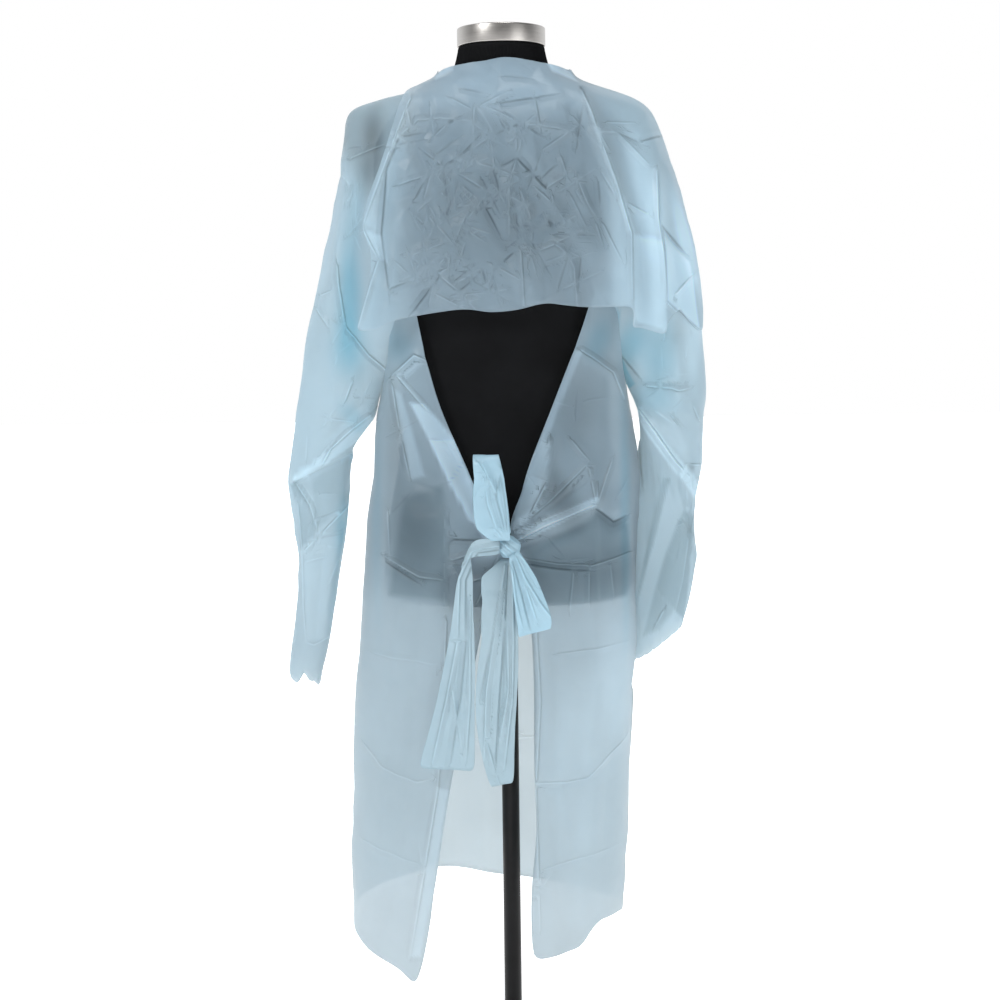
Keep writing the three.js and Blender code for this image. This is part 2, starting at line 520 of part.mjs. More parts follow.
function bodyGeometry() {
  const points = [];
  const quads = [];
  const total = 2 * WING_COLUMNS + FRONT_COLUMNS + 1;
  for (let r = 0; r <= SKIRT_ROWS; r++) {
    const share = (r / SKIRT_ROWS) ** 0.94;
    points.push(...aroundRow((around) => mix(sample(HEM, 'around', around, 'height'), UNDERARM, share)));
  }
  quads.push(...gridQuads(SKIRT_ROWS + 1, total));
  const top = SKIRT_ROWS * total;
  // A panel that goes on upwards from part of the top row.
  const goOn = (first, last, rowsUp) => {
    let below = [];
    for (let c = first; c <= last; c++) below.push(top + c);
    for (const row of rowsUp) {
      const above = row.map((point) => points.push(point) - 1);
      for (let c = 0; c + 1 < above.length; c++) {
        quads.push([below[c], below[c + 1], above[c + 1], above[c]]);
      }
      below = above;
    }
  };
  const frontRows = BODICE_STEPS.map((step) => {
    const row = [];
    for (let c = 0; c <= FRONT_COLUMNS; c++) {
      const across = c / FRONT_COLUMNS;
      const level = mix(UNDERARM, sample(FRONT_NECKLINE, 'across', across, 'height'), step);
      row.push(foldedBody(mix(-armholeTurn(-1, level), armholeTurn(1, level), across), level));
    }
    return row;
  });
  goOn(WING_COLUMNS, WING_COLUMNS + FRONT_COLUMNS, frontRows);
  for (const side of [-1, 1]) {
    const wingRows = WING_TOP_STEPS.map((step) => {
      const level = mix(UNDERARM, WING_TOP, step);
      const row = [];
      for (let c = 0; c <= WING_COLUMNS; c++) row.push(foldedBody(wingTurn(side, c / WING_COLUMNS, level), level));
      return side < 0 ? row : row.reverse();
    });
    const first = side < 0 ? 0 : WING_COLUMNS + FRONT_COLUMNS;
    goOn(first, first + WING_COLUMNS, wingRows);
  }
  return wallOf(points, quads, WALL);
}

// ---- back yoke -------------------------------------------------------------------------------------
function yokePoint(share, step) {
  // The column's foot is placed first, because the free edge's height depends on it.
  const turnAt = (level) => {
    const reach = (name, crest) => {
      const ratio = sample(YOKE_SECTIONS, 'level', level, name) / sample(YOKE_SECTIONS, 'level', level, crest);
      return Math.asin(signedPower(clamp(ratio, -1, 1), OVAL / 2));
    };
    return mix(reach('left', 'crestLeft'), reach('right', 'crestRight'), share);
  };
  const placeAt = (level) => {
    const turn = turnAt(level);
    const crest = sample(YOKE_SECTIONS, 'level', level, turn < 0 ? 'crestLeft' : 'crestRight');
    const x = crest * signedPower(Math.sin(turn), 2 / OVAL);
    const y = -sample(YOKE_SECTIONS, 'level', level, 'depth') * signedPower(Math.cos(turn), 2 / OVAL);
    return new THREE.Vector3(x, y, level);
  };
  const neck = sample(YOKE_NECKLINE, 'x', placeAt(1484).x, 'height');
  const edge = sample(YOKE_EDGE, 'x', placeAt(1150).x, 'height');
  const point = placeAt(mix(neck, edge, step));
  point.y -= SEAM_GAP;
  for (const fold of YOKE_FOLDS) point.y -= foldLift(fold, point.x, point.z);
  return point;
}

function yokeGeometry() {
  const points = [];
  for (const step of YOKE_STEPS) {
    for (let c = 0; c <= YOKE_COLUMNS; c++) points.push(yokePoint(c / YOKE_COLUMNS, step));
  }
  return wallOf(points, gridQuads(YOKE_STEPS.length, YOKE_COLUMNS + 1), WALL);
}

// ---- sleeves ---------------------------------------------------------------------------------------
// Depth of the front panel at a place in the front view.
function frontDepth(x, level) {
  const half = Math.abs(sample(BODY_SECTIONS, 'level', level, x < 0 ? 'left' : 'right'));
  const share = clamp(Math.abs(x) / half, 0, 1);
  return sample(BODY_SECTIONS, 'level', level, 'front') * (1 - share ** OVAL) ** (1 / OVAL);
}

function sleeveGeometry(sections) {
  const points = [];
  sections.forEach((section, r) => {
    for (let c = 0; c < SLEEVE_POINTS; c++) {
      const turn = ((c + 0.5) / SLEEVE_POINTS) * 2 * Math.PI;
      const out = signedPower(Math.cos(turn), 2 / OVAL);
      const deep = signedPower(Math.sin(turn), 2 / OVAL);
      const share = (out + 1) / 2;
      const x = mix(section.inX, section.outX, share);
      const z = mix(section.inZ, section.outZ, share);
      const middle = (section.near + section.far) / 2;
      const y = middle + (deep * (section.far - section.near)) / 2;
      const flush = r === 0 && deep > 0 ? clamp((z - FLUSH_START) / FLUSH_RISE, 0, 1) : 0;
      points.push(new THREE.Vector3(x, mix(y, frontDepth(x, z), flush), z));
    }
  });
  return wallOf(points, gridQuads(sections.length, SLEEVE_POINTS, true), WALL);
}

// ---- waist ties ------------------------------------------------------------------------------------
function strapGeometry(rows) {
  const points = [];
  for (const row of rows) {
    for (let c = 0; c < STRAP_COLUMNS; c++) {
      const across = mix(-1, 1, c / (STRAP_COLUMNS - 1));
      const lean = radians(row.slant);
      const pleat = row.ripple * Math.cos(across * 3.5 * Math.PI);
      points.push(
        new THREE.Vector3(
          row.x + across * row.half * Math.cos(lean),
          row.y + pleat,
          row.z + across * row.half * Math.sin(lean),
        ),
      );
    }
  }
  return wallOf(points, gridQuads(rows.length, STRAP_COLUMNS), WALL);
}

function knotGeometry() {
  const ball = new THREE.SphereGeometry(0.5, 14, 10);
  const round = [];
  const place = ball.getAttribute('position');
  const seen = new Map();
  const index = [];
  for (let i = 0; i < place.count; i++) {
    const key = [place.getX(i), place.getY(i), place.getZ(i)].map((v) => v.toFixed(4).replace('-0.0000', '0.0000'));
    const name = key.join('_');
    if (!seen.has(name)) {
      seen.set(name, round.length / 3);
      const fold = 1 + 0.07 * Math.sin(5 * Math.atan2(place.getY(i), place.getX(i)) + 4 * place.getZ(i));
      round.push(KNOT.x + place.getX(i) * KNOT.width * fold);
      round.push(KNOT.y + place.getZ(i) * KNOT.depth);
      round.push(KNOT.z + place.getY(i) * KNOT.height * fold);
    }
    index.push(seen.get(name));
  }
  const triangles = [];
  const order = ball.getIndex();
  for (let t = 0; t < order.count; t += 3) {
    const [a, b, c] = [0, 1, 2].map((k) => index[order.getX(t + k)]);
    if (a !== b && b !== c && c !== a) triangles.push(a, b, c);
  }
  return solidOf(round, triangles);
}

// ---- dress form and its stand ----------------------------------------------------------------------
function torsoGeometry() {
  const positions = [];
  const triangles = [];
  for (const section of TORSO_SECTIONS) {
    for (let c = 0; c < TORSO_SIDES; c++) {
      const turn = (c / TORSO_SIDES) * 2 * Math.PI;
      const depth = Math.sin(turn) > 0 ? section.front : section.back;
      positions.push(section.half * signedPower(Math.cos(turn), 2 / OVAL));
      positions.push(depth * signedPower(Math.sin(turn), 2 / OVAL), section.level);
    }
  }
  const last = TORSO_SECTIONS.length - 1;
  for (const [a, b, c, d] of gridQuads(last + 1, TORSO_SIDES, true)) triangles.push(a, b, c, a, c, d);
  const bottom = positions.push(0, 0, TORSO_SECTIONS[0].level) / 3 - 1;
  const top = positions.push(0, 0, TORSO_SECTIONS[last].level) / 3 - 1;
  for (let c = 0; c < TORSO_SIDES; c++) {
    const next = (c + 1) % TORSO_SIDES;
    triangles.push(bottom, next, c);
    triangles.push(top, last * TORSO_SIDES + c, last * TORSO_SIDES + next);
  }
  return solidOf(positions, triangles);
}

// Turned piece from [radius, height] pairs that start and end on the axis.
function turned(profile, sides = ROUND_SIDES) {
  const geometry = new THREE.LatheGeometry(profile.map(([r, z]) => new THREE.Vector2(r, z)), sides);
  geometry.rotateX(Math.PI / 2);
  return geometry;
}

const neckProfile = [
  [0, NECK_BOTTOM + SEAM_GAP],
  [NECK_RADIUS + NECK_FLARE, NECK_BOTTOM + SEAM_GAP],
  [NECK_RADIUS + NECK_FLARE * 0.72, mix(NECK_BOTTOM, NECK_TOP, 0.2)],
  [NECK_RADIUS + NECK_FLARE * 0.42, mix(NECK_BOTTOM, NECK_TOP, 0.45)],
  [NECK_RADIUS + NECK_FLARE * 0.16, mix(NECK_BOTTOM, NECK_TOP, 0.72)],
  [NECK_RADIUS, NECK_TOP - 2],
  [NECK_RADIUS - 2, NECK_TOP],
  [0, NECK_TOP],
];
const capProfile = [
  [0, NECK_TOP + SEAM_GAP],
  [CAP_RADIUS - 1, NECK_TOP + SEAM_GAP],
  [CAP_RADIUS, NECK_TOP + 1.3],
  [CAP_RADIUS, CAP_TOP - 1.5],
  [CAP_RADIUS - 1.5, CAP_TOP],
  [0, CAP_TOP],
];
const poleProfile = [
  [0, BASE_THICK + SEAM_GAP],
  [POLE_RADIUS, BASE_THICK + SEAM_GAP],
  [POLE_RADIUS, TORSO_BOTTOM - SEAM_GAP],
  [0, TORSO_BOTTOM - SEAM_GAP],
];
const collarBore = POLE_RADIUS + SEAM_GAP;
const collarFoot = BASE_THICK + SEAM_GAP;
const collarProfile = [
  [collarBore, collarFoot],
  [COLLAR_RADIUS + 12, collarFoot],
  [COLLAR_RADIUS + 12, collarFoot + 5],
  [COLLAR_RADIUS, collarFoot + 12],
  [COLLAR_RADIUS - 3, collarFoot + COLLAR_HEIGHT - 2],
  [COLLAR_RADIUS - 5, collarFoot + COLLAR_HEIGHT],
  [collarBore, collarFoot + COLLAR_HEIGHT],
  [collarBore, collarFoot],
];
const baseProfile = [
  [0, 0],
  [BASE_RADIUS - 1.5, 0],
  [BASE_RADIUS, 1.5],
  [BASE_RADIUS, BASE_THICK - 2.5],
  [BASE_RADIUS - 2.5, BASE_THICK],
  [0, BASE_THICK],
];

// ---- the object ------------------------------------------------------------------------------------
function piece(name, geometry, material) {
  const mesh = new THREE.Mesh(geometry, material);
  mesh.name = name;
  return mesh;
}

const gown = new THREE.Group();
gown.add(piece('front_body', bodyGeometry(), film));
gown.add(piece('back_yoke', yokeGeometry(), film));
gown.add(piece('sleeve_left', sleeveGeometry(LEFT_SLEEVE), film));
gown.add(piece('sleeve_right', sleeveGeometry(RIGHT_SLEEVE), film));
gown.add(piece('tie_knot', knotGeometry(), film));
gown.add(piece('tie_loop_upper', strapGeometry(UPPER_LOOP), film));
gown.add(piece('tie_loop_lower', strapGeometry(LOWER_LOOP), film));
gown.add(piece('tie_tail_left', strapGeometry(LEFT_TAIL), film));
gown.add(piece('tie_tail_middle', strapGeometry(MIDDLE_TAIL), film));

const dressForm = new THREE.Group();
dressForm.add(piece('form_torso', torsoGeometry(), jersey));
dressForm.add(piece('form_neck', turned(neckProfile), jersey));
dressForm.add(piece('form_cap', turned(capProfile), steel));
dressForm.add(piece('form_pole', turned(poleProfile, 24), blackPaint));
dressForm.add(piece('form_collar', turned(collarProfile), blackPaint));
dressForm.add(piece('form_base', turned(baseProfile, 40), blackPaint));

const object = new THREE.Group();
object.add(gown, dressForm);

export default object;
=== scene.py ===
"""Isolation gown of thin light-blue film on a limbless dress form: looks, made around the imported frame.

Metres, +Z up. The gown's open back faces -Y. Tables are in millimetres and are scaled by MM.
"""
import math
import random
from collections import namedtuple

import bmesh
import bpy
import numpy as np
from mathutils import Matrix, Vector
from mathutils.bvhtree import BVHTree
from mathutils.geometry import delaunay_2d_cdt


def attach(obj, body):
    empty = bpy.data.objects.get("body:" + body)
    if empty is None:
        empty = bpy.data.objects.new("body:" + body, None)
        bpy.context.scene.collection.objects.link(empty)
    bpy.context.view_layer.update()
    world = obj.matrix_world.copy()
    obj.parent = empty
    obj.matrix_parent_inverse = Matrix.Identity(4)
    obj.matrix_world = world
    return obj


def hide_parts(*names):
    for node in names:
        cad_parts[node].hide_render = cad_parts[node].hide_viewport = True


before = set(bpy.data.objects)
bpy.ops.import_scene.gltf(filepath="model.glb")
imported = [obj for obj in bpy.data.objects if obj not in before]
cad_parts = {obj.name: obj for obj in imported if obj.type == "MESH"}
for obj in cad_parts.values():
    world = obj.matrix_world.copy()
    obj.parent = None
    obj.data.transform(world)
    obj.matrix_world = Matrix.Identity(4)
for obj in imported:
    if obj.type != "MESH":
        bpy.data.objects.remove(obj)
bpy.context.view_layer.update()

MM = 0.001
scene = bpy.context.scene

# ---- camera --------------------------------------------------------------------------------------

CAMERA_PLACE = (-0.0096, -2.5, 1.144)
CAMERA_TILT = 84.58     # degrees from looking straight down
CAMERA_ROLL = -0.754
CAMERA_LENS = 66.06

camera_data = bpy.data.cameras.new("studio_camera")
camera_data.lens = CAMERA_LENS
camera_data.sensor_width = 36
camera_data.clip_end = 60
camera = bpy.data.objects.new("studio_camera", camera_data)
scene.collection.objects.link(camera)
tilt = Matrix.Rotation(math.radians(CAMERA_TILT), 3, "X")
roll = Matrix.Rotation(math.radians(CAMERA_ROLL), 3, "Z")
camera.rotation_euler = (tilt @ roll).to_euler()
camera.location = CAMERA_PLACE
scene.camera = camera
scene.view_settings.view_transform = "Standard"

# ---- materials -----------------------------------------------------------------------------------


class Finish:
    """A node material under construction."""

    def __init__(self, name):
        self.material = bpy.data.materials.new(name)
        self.material.use_nodes = True
        self.tree = self.material.node_tree
        self.tree.nodes.clear()
        self.place = self.add("TexCoord").outputs["Object"]

    def add(self, kind, inputs=None, **settings):
        """A node with its settings made, and its inputs set to values or joined to sockets."""
        made = self.tree.nodes.new("ShaderNode" + kind)
        for name, value in settings.items():
            setattr(made, name, value)
        for name, value in (inputs or {}).items():
            self.put(made.inputs[name], value)
        return made

    def put(self, socket, value):
        """Sets the socket to a value, or joins it to another socket."""
        if isinstance(value, bpy.types.NodeSocket):
            self.tree.links.new(value, socket)
        else:
            socket.default_value = value

    def look(self, name):
        """The share of a look that each point of the piece has."""
        return self.add("Attribute", attribute_name=name).outputs["Fac"]

    def math(self, operation, *values):
        return self.add("Math", dict(enumerate(values)), operation=operation).outputs[0]

    def scaled(self, colour, share):
        return self.add("VectorMath", {0: colour, "Scale": share}, operation="SCALE").outputs["Vector"]

    def tent(self, value, before, after):
        """One where value is nothing, down to nothing by before below it and by after above it."""
        rising = self.math("MULTIPLY_ADD", value, 1 / before, 1.0)
        falling = self.math("MULTIPLY_ADD", value, -1 / after, 1.0)
        return self.math("MAXIMUM", self.math("MINIMUM", falling, rising), 0.0)

    def noise(self, scale, detail=3, place=None, rough=0.5, **settings):
        inputs = {"Vector": place or self.place, "Scale": scale, "Detail": detail, "Roughness": rough}
        return self.add("TexNoise", inputs, **settings).outputs["Fac"]

    def spread(self, value, low, high, start=0.3, end=0.7):
        """value, from start to end, spread over low to high."""
        inputs = {"Value": value, "From Min": start, "From Max": end, "To Min": low, "To Max": high}
        return self.add("MapRange", inputs).outputs["Result"]

    def blend(self, share, first, second):
        """Colour between two colours."""
        made = self.add("Mix", data_type="RGBA")
        for name, value in (("Factor_Float", share), ("A_Color", first), ("B_Color", second)):
            self.put(next(s for s in made.inputs if s.identifier == name), value)
        return next(s for s in made.outputs if s.identifier == "Result_Color")

    def end(self, shader):
        self.add("OutputMaterial", {"Surface": shader})
        return self.material


DOUBLED_LIGHT_SHADE_TONE = 0.42     # how much lighter film is where it lies wholly doubled, and likewise where painted light is laid in full; painted shade, a share less than nothing, makes it darker
CREST_HIGHLIGHT = 125        # painted highlight: how much lighter a crease's crest is, for each metre that it is raised
LEE_SHADE = 16           # painted shade: how much darker its steep side is
CREASE_RELIEF = 1.2     # how high its ridge stands, for each metre that it is raised
DOUBLED_HIDES = 0.45    # how much of what still shows through is hidden where the film is doubled, and where light is painted on it
CLEAR_HIDES = 0.3       # and where it hangs clear of the form
MOST_HIDDEN = 0.7


def film(name, colours, glows, cover, through=0.5):
    """Thin translucent film. colours are what it throws back and glows are what it lets through, softly
    spread, each where it is pale, where it is blue and where it is painted deepest blue as shade. cover
    is how much of what is behind it one face hides, and through is how much of the light it catches goes
    on through. It hides more, and is lighter, where it lies in two layers and where light is painted on
    it, and hides more where it hangs clear of the form. Where that share is less than nothing it is
    painted darker, as shade. Crease crests get a painted highlight and their steep sides painted shade."""
    f = Finish(name)
    seen = f.add("LightPath").outputs["Is Camera Ray"]
    clear = f.add("BsdfTransparent", {"Color": (1, 1, 1, 1)}).outputs[0]

    # what light meets on its way to other pieces: pale film without marks
    plain = f.add("BsdfDiffuse", {"Color": colours[0]}).outputs[0]
    plain_glow = f.add("BsdfTranslucent", {"Color": glows[0]}).outputs[0]
    plain = f.add("MixShader", {0: through, 1: plain, 2: plain_glow}).outputs[0]
    plain = f.add("MixShader", {0: cover, 1: clear, 2: plain}).outputs[0]

    looks = ("crumple", "doubled_light_shade", "veil", "blue", "shade_deep", "crease", "crease_lift")
    crumple, doubled_light_shade, clear_of_form, blue, shade_deep, aside, raised = map(f.look, looks)
    ridge = f.math("MULTIPLY", f.tent(aside, 2.5 * MM, 7 * MM), raised)
    crest = f.math("MULTIPLY", f.tent(aside, 1.8 * MM, 1.8 * MM), raised)
    lee = f.math("MULTIPLY", f.tent(f.math("ADD", aside, 3 * MM), 3 * MM, 3 * MM), raised)
    cloud = f.spread(f.noise(9), 0.95, 1.03)
    # painted light and shade: lighter where the film is doubled and where light is painted, darker where
    # shade is painted, and deeper blue where shade is painted blue
    tone = f.math("MULTIPLY_ADD", doubled_light_shade, DOUBLED_LIGHT_SHADE_TONE, 1.0)
    # a painted highlight along each crease's crest and painted shade on its steep side
    tone = f.math("MULTIPLY_ADD", crest, CREST_HIGHLIGHT, tone)
    tone = f.math("MULTIPLY_ADD", lee, -LEE_SHADE, tone)
    tone = f.math("MULTIPLY", tone, cloud)
    tint = f.scaled(f.blend(shade_deep, f.blend(blue, colours[0], colours[1]), colours[2]), tone)
    soft_tint = f.scaled(f.blend(shade_deep, f.blend(blue, glows[0], glows[1]), glows[2]), tone)

    waves = f.math("MULTIPLY", f.noise(26, 2), 4.5 * MM)
    fine = f.math("MULTIPLY", f.noise(70, 1, noise_type="RIDGED_MULTIFRACTAL"), 0.4 * MM)
    height = f.math("MULTIPLY", f.math("ADD", waves, fine), crumple)
    height = f.math("MULTIPLY_ADD", ridge, CREASE_RELIEF, height)
    bump = f.add("Bump", {"Height": height, "Strength": 1.0, "Distance": 1.0}).outputs[0]
    rough = f.spread(cloud, 0.29, 0.4, start=0.95, end=1.03)
    gloss = f.add("BsdfPrincipled", {"Base Color": tint, "Roughness": rough, "IOR": 1.5, "Normal": bump,
                                     "Specular IOR Level": 0.45})
    soft = f.add("BsdfTranslucent", {"Color": soft_tint, "Normal": bump})
    body = f.add("MixShader", {0: through, 1: gloss.outputs[0], 2: soft.outputs[0]}).outputs[0]
    more = f.math("MULTIPLY", clear_of_form, CLEAR_HIDES)
    more = f.math("MULTIPLY_ADD", doubled_light_shade, DOUBLED_HIDES, more)
    more = f.math("MINIMUM", f.math("MAXIMUM", more, 0.0), MOST_HIDDEN)
    hide = f.math("ADD", cover, f.math("MULTIPLY", more, 1 - cover))
    whole = f.add("MixShader", {0: hide, 1: clear, 2: body}).outputs[0]
    return f.end(f.add("MixShader", {0: seen, 1: plain, 2: whole}).outputs[0])


def jersey():
    """Black stretch jersey: fine knit rows and a soft bloom of fibre."""
    f = Finish("black_jersey")
    rows = f.add("TexWave", {"Vector": f.place, "Scale": 420, "Distortion": 1.2, "Detail": 2},
                 bands_direction="Z").outputs["Fac"]
    height = f.math("ADD", f.math("MULTIPLY", rows, 0.00012), f.math("MULTIPLY", f.noise(700), 0.0001))
    bump = f.add("Bump", {"Height": height, "Strength": 0.8, "Distance": 1.0}).outputs[0]
    tint = f.blend(f.spread(f.noise(18, 4), 0, 1), (0.0024, 0.0027, 0.0034, 1),
                   (0.0045, 0.005, 0.006, 1))
    cloth = f.add("BsdfPrincipled", {"Base Color": tint, "Roughness": 0.9, "Normal": bump,
                                     "Specular IOR Level": 0.16})
    return f.end(cloth.outputs[0])


def steel():
    """Steel brushed round the neck cap."""
    f = Finish("brushed_steel")
    stretched = f.add("Mapping", {"Vector": f.place, "Scale": (3, 3, 900)}).outputs[0]
    lines = f.noise(2.2, 5, stretched, 0.7)
    rough = f.spread(lines, 0.26, 0.44)
    tint = f.blend(f.spread(lines, 0, 1), (0.40, 0.385, 0.365, 1), (0.55, 0.53, 0.51, 1))
    bump = f.add("Bump", {"Height": f.math("MULTIPLY", lines, 0.00008), "Distance": 1.0}).outputs[0]
    metal = f.add("BsdfPrincipled", {"Base Color": tint, "Roughness": rough, "Metallic": 1.0,
                                     "Normal": bump})
    return f.end(metal.outputs[0])


def black_paint():
    """Satin black powder coat."""
    f = Finish("black_paint")
    peel = f.math("MULTIPLY", f.noise(420, 3), 0.00016)
    bump = f.add("Bump", {"Height": peel, "Strength": 0.7, "Distance": 1.0}).outputs[0]
    rough = f.spread(f.noise(30, 4), 0.3, 0.42)
    tint = f.blend(f.spread(f.noise(25, 3), 0, 1), (0.003, 0.003, 0.0035, 1), (0.007, 0.007, 0.008, 1))
    paint = f.add("BsdfPrincipled", {"Base Color": tint, "Roughness": rough, "Normal": bump,
                                     "Specular IOR Level": 0.22})
    return f.end(paint.outputs[0])


# The third colour and glow of each film, the deepest blue, is painted shade: it is laid where the film is
# shaded.
PALE, BLUE, SHADED_BLUE = (0.36, 0.50, 0.62, 1), (0.48, 0.65, 0.775, 1), (0.24, 0.51, 0.68, 1)
PALE_GLOW, BLUE_GLOW, SHADED_BLUE_GLOW = (0.87, 0.88, 0.84, 1), (0.81, 0.95, 0.99, 1), (0.40, 0.76, 0.88, 1)
FILM = film("blue_film", (PALE, BLUE, SHADED_BLUE), (PALE_GLOW, BLUE_GLOW, SHADED_BLUE_GLOW), 0.62)
TIE_PALE, TIE_BLUE, TIE_SHADED_BLUE = (0.49, 0.61, 0.67, 1), (0.50, 0.74, 0.88, 1), (0.3, 0.58, 0.75, 1)
TIE_GLOWS = ((0.60, 0.72, 0.77, 1), (0.48, 0.7, 0.82, 1), (0.3, 0.6, 0.75, 1))
TIE_FILM = film("gathered_film", (TIE_PALE, TIE_BLUE, TIE_SHADED_BLUE), TIE_GLOWS, 0.8, 0.3)
JERSEY = jersey()
STEEL = steel()
BLACK = black_paint()

# ---- cloth: shared steps -------------------------------------------------------------------------

WALL = 1.2 * MM         # thickness of the frame's cloth walls
FILM_THICK = 0.35 * MM  # thickness of the finished sheets
SAME_PLACE = 1e-6       # corners nearer than this are one


def outer_sheet(node, name):
    """The outer face of a cloth node, as one open sheet of quads."""
    sheet = bmesh.new()
    sheet.from_mesh(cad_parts[node].data)
    bmesh.ops.remove_doubles(sheet, verts=sheet.verts, dist=SAME_PLACE)
    rim = [f for f in sheet.faces if any(abs(e.calc_length() - WALL) < 2e-6 for e in f.edges)]
    bmesh.ops.delete(sheet, geom=rim, context="FACES")
    outer = max(islands(sheet), key=lambda faces: sum(f.calc_area() for f in faces))
    keep = set(outer)
    bmesh.ops.delete(sheet, geom=[f for f in sheet.faces if f not in keep], context="FACES")
    bmesh.ops.dissolve_edges(sheet, edges=diagonals(sheet), use_verts=False)
    mesh = bpy.data.meshes.new(name)
    sheet.to_mesh(mesh)
    sheet.free()
    piece = bpy.data.objects.new(name, mesh)
    scene.collection.objects.link(piece)
    return piece


def islands(sheet):
    """Groups of joined faces."""
    left = set(sheet.faces)
    found = []
    while left:
        group = [left.pop()]
        for face in group:
            for edge in face.edges:
                for other in edge.link_faces:
                    if other in left:
                        left.remove(other)
                        group.append(other)
        found.append(group)
    return found


def diagonals(sheet):
    """The diagonal that each pair of triangles shares, in a grid whose quads are all split one way."""
    start = max(sheet.faces, key=lambda f: f.calc_area())
    for guess in sorted(start.edges, key=lambda e: -e.calc_length()):
        chosen = {start: guess}
        queue = [start]
        for face in queue:
            diagonal = chosen[face]
            corner = next(v for v in face.verts if v not in diagonal.verts)
            for edge in face.edges:
                for other in edge.link_faces:
                    if other in chosen:
                        continue
                    if edge is diagonal:
                        chosen[other] = edge
                    else:
                        ends = (e for e in other.edges if e is not edge and corner in e.verts)
                        chosen[other] = next(ends)
                    queue.append(other)
        shared = [e for f, e in chosen.items() if all(chosen[o] is e for o in e.link_faces)]
        if len(shared) == len(chosen):
            return list(set(shared))
    raise RuntimeError("the sheet is not a grid")


def merged_copy(node, name, bend, skew):
    """A copy of a node with its loose triangles joined, to quads where they bend and skew little."""
    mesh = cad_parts[node].data.copy()
    piece = bpy.data.objects.new(name, mesh)
    scene.collection.objects.link(piece)
    bm = bmesh.new()
    bm.from_mesh(mesh)
    bmesh.ops.remove_doubles(bm, verts=bm.verts, dist=SAME_PLACE)
    bmesh.ops.join_triangles(bm, faces=bm.faces, angle_face_threshold=bend, angle_shape_threshold=skew)
    bm.to_mesh(mesh)
    bm.free()
    return piece


def shade_smooth(piece):
    piece.data.polygons.foreach_set("use_smooth", np.ones(len(piece.data.polygons), bool))


def paint(piece, looks, finish):
    """Gives each point its share of every look, and the piece its material."""
    for name, values in looks.items():
        layer = piece.data.attributes.new(name, "FLOAT", "POINT")
        layer.data.foreach_set("value", values.astype(np.float32))
    piece.data.materials.clear()
    piece.data.materials.append(finish)


def apply_modifiers(piece):
    """The piece keeps the mesh that its modifiers make."""
    bpy.context.view_layer.update()
    made = bpy.data.meshes.new_from_object(piece.evaluated_get(bpy.context.evaluated_depsgraph_get()))
    old = piece.data
    piece.modifiers.clear()
    piece.data = made
    made.name = piece.name
    bpy.data.meshes.remove(old)


def subdivide(piece, levels):
    smooth = piece.modifiers.new("smooth", "SUBSURF")
    smooth.levels = smooth.render_levels = levels
    apply_modifiers(piece)


def split_edges(piece, chosen, cuts):
    """Cuts the chosen edges once or more, right across their quads."""
    bm = bmesh.new()
    bm.from_mesh(piece.data)
    edges = [e for e in bm.edges if chosen(e)]
    bmesh.ops.subdivide_edges(bm, edges=edges, cuts=cuts, use_grid_fill=True)
    bm.to_mesh(piece.data)
    bm.free()


def points_of(piece):
    """Places and normals of the piece's points."""
    data = piece.data
    places = np.empty(len(data.vertices) * 3)
    normals = np.empty(len(data.vertices) * 3)
    data.vertices.foreach_get("co", places)
    data.vertices.foreach_get("normal", normals)
    return places.reshape(-1, 3), normals.reshape(-1, 3)


def move_points(piece, places):
    piece.data.vertices.foreach_set("co", places.ravel())
    piece.data.update()


# ---- folds and crumples --------------------------------------------------------------------------

LEAST_WIDTH = 15        # of a fold to each side in the film's form, however narrow it is
CREASE_WIDTH = 13       # folds narrower than this are creased in the film's finish too: a bump, a painted highlight and painted shade
CREASE_REACH = 9 * MM   # how far from a crease its marks are gone
CREASE_FADE = 3 * MM    # the last part of that, where they fade
CREASE_PART = 4 * MM    # how near to another crease they fade
FULLEST = 0.35          # share of the way along a fold where it is highest

# A straight fold, from one place to another in the view from behind: lift > 0 is a ridge.
Fold = namedtuple("Fold", "x0 z0 x1 z1 lift width")


def creases(*runs):
    """Folds of creases that run through two corners or more: (lift, width, x, z, x, z, ...)."""
    folds = []
    for lift, width, *corners in runs:
        places = list(zip(corners[::2], corners[1::2]))
        folds += [Fold(*start, *end, lift, width) for start, end in zip(places, places[1:])]
    return folds


def beside(fold, x, z):
    """Share of the way along the fold at each place, and its distance aside and beyond the ends."""
    start = np.array([fold.x0, fold.z0]) * MM
    run = np.array([fold.x1, fold.z1]) * MM - start
    length = np.hypot(*run)
    along = ((x - start[0]) * run[0] + (z - start[1]) * run[1]) / length
    aside = ((x - start[0]) * run[1] - (z - start[1]) * run[0]) / length
    return along / length, aside, np.maximum(0, np.maximum(-along, along - length))


def fading(share):
    """How much of its height a fold keeps along its run."""
    return np.clip(1 - (np.clip(share, 0, 1) - FULLEST) ** 2 * 1.6, 0.25, 1)


def fold_lift(folds, x, z):
    """Height of the folds at each place: sharp along their crest and fading at both ends."""
    lift = np.zeros(len(x))
    blunt = 1.6 * MM
    for fold in folds:
        along, aside, beyond = beside(fold, x, z)
        width = max(fold.width, LEAST_WIDTH)
        away = np.sqrt(aside**2 + beyond**2 + blunt**2) - blunt
        share = np.clip(away / (width * MM), 0, 1)
        crisp = min(1, 12 / width)
        shape = crisp * (1 - share) ** 2 + (1 - crisp) * (1 - share**2) ** 2
        lift += fold.lift * MM * fading(along) * shape
    return lift


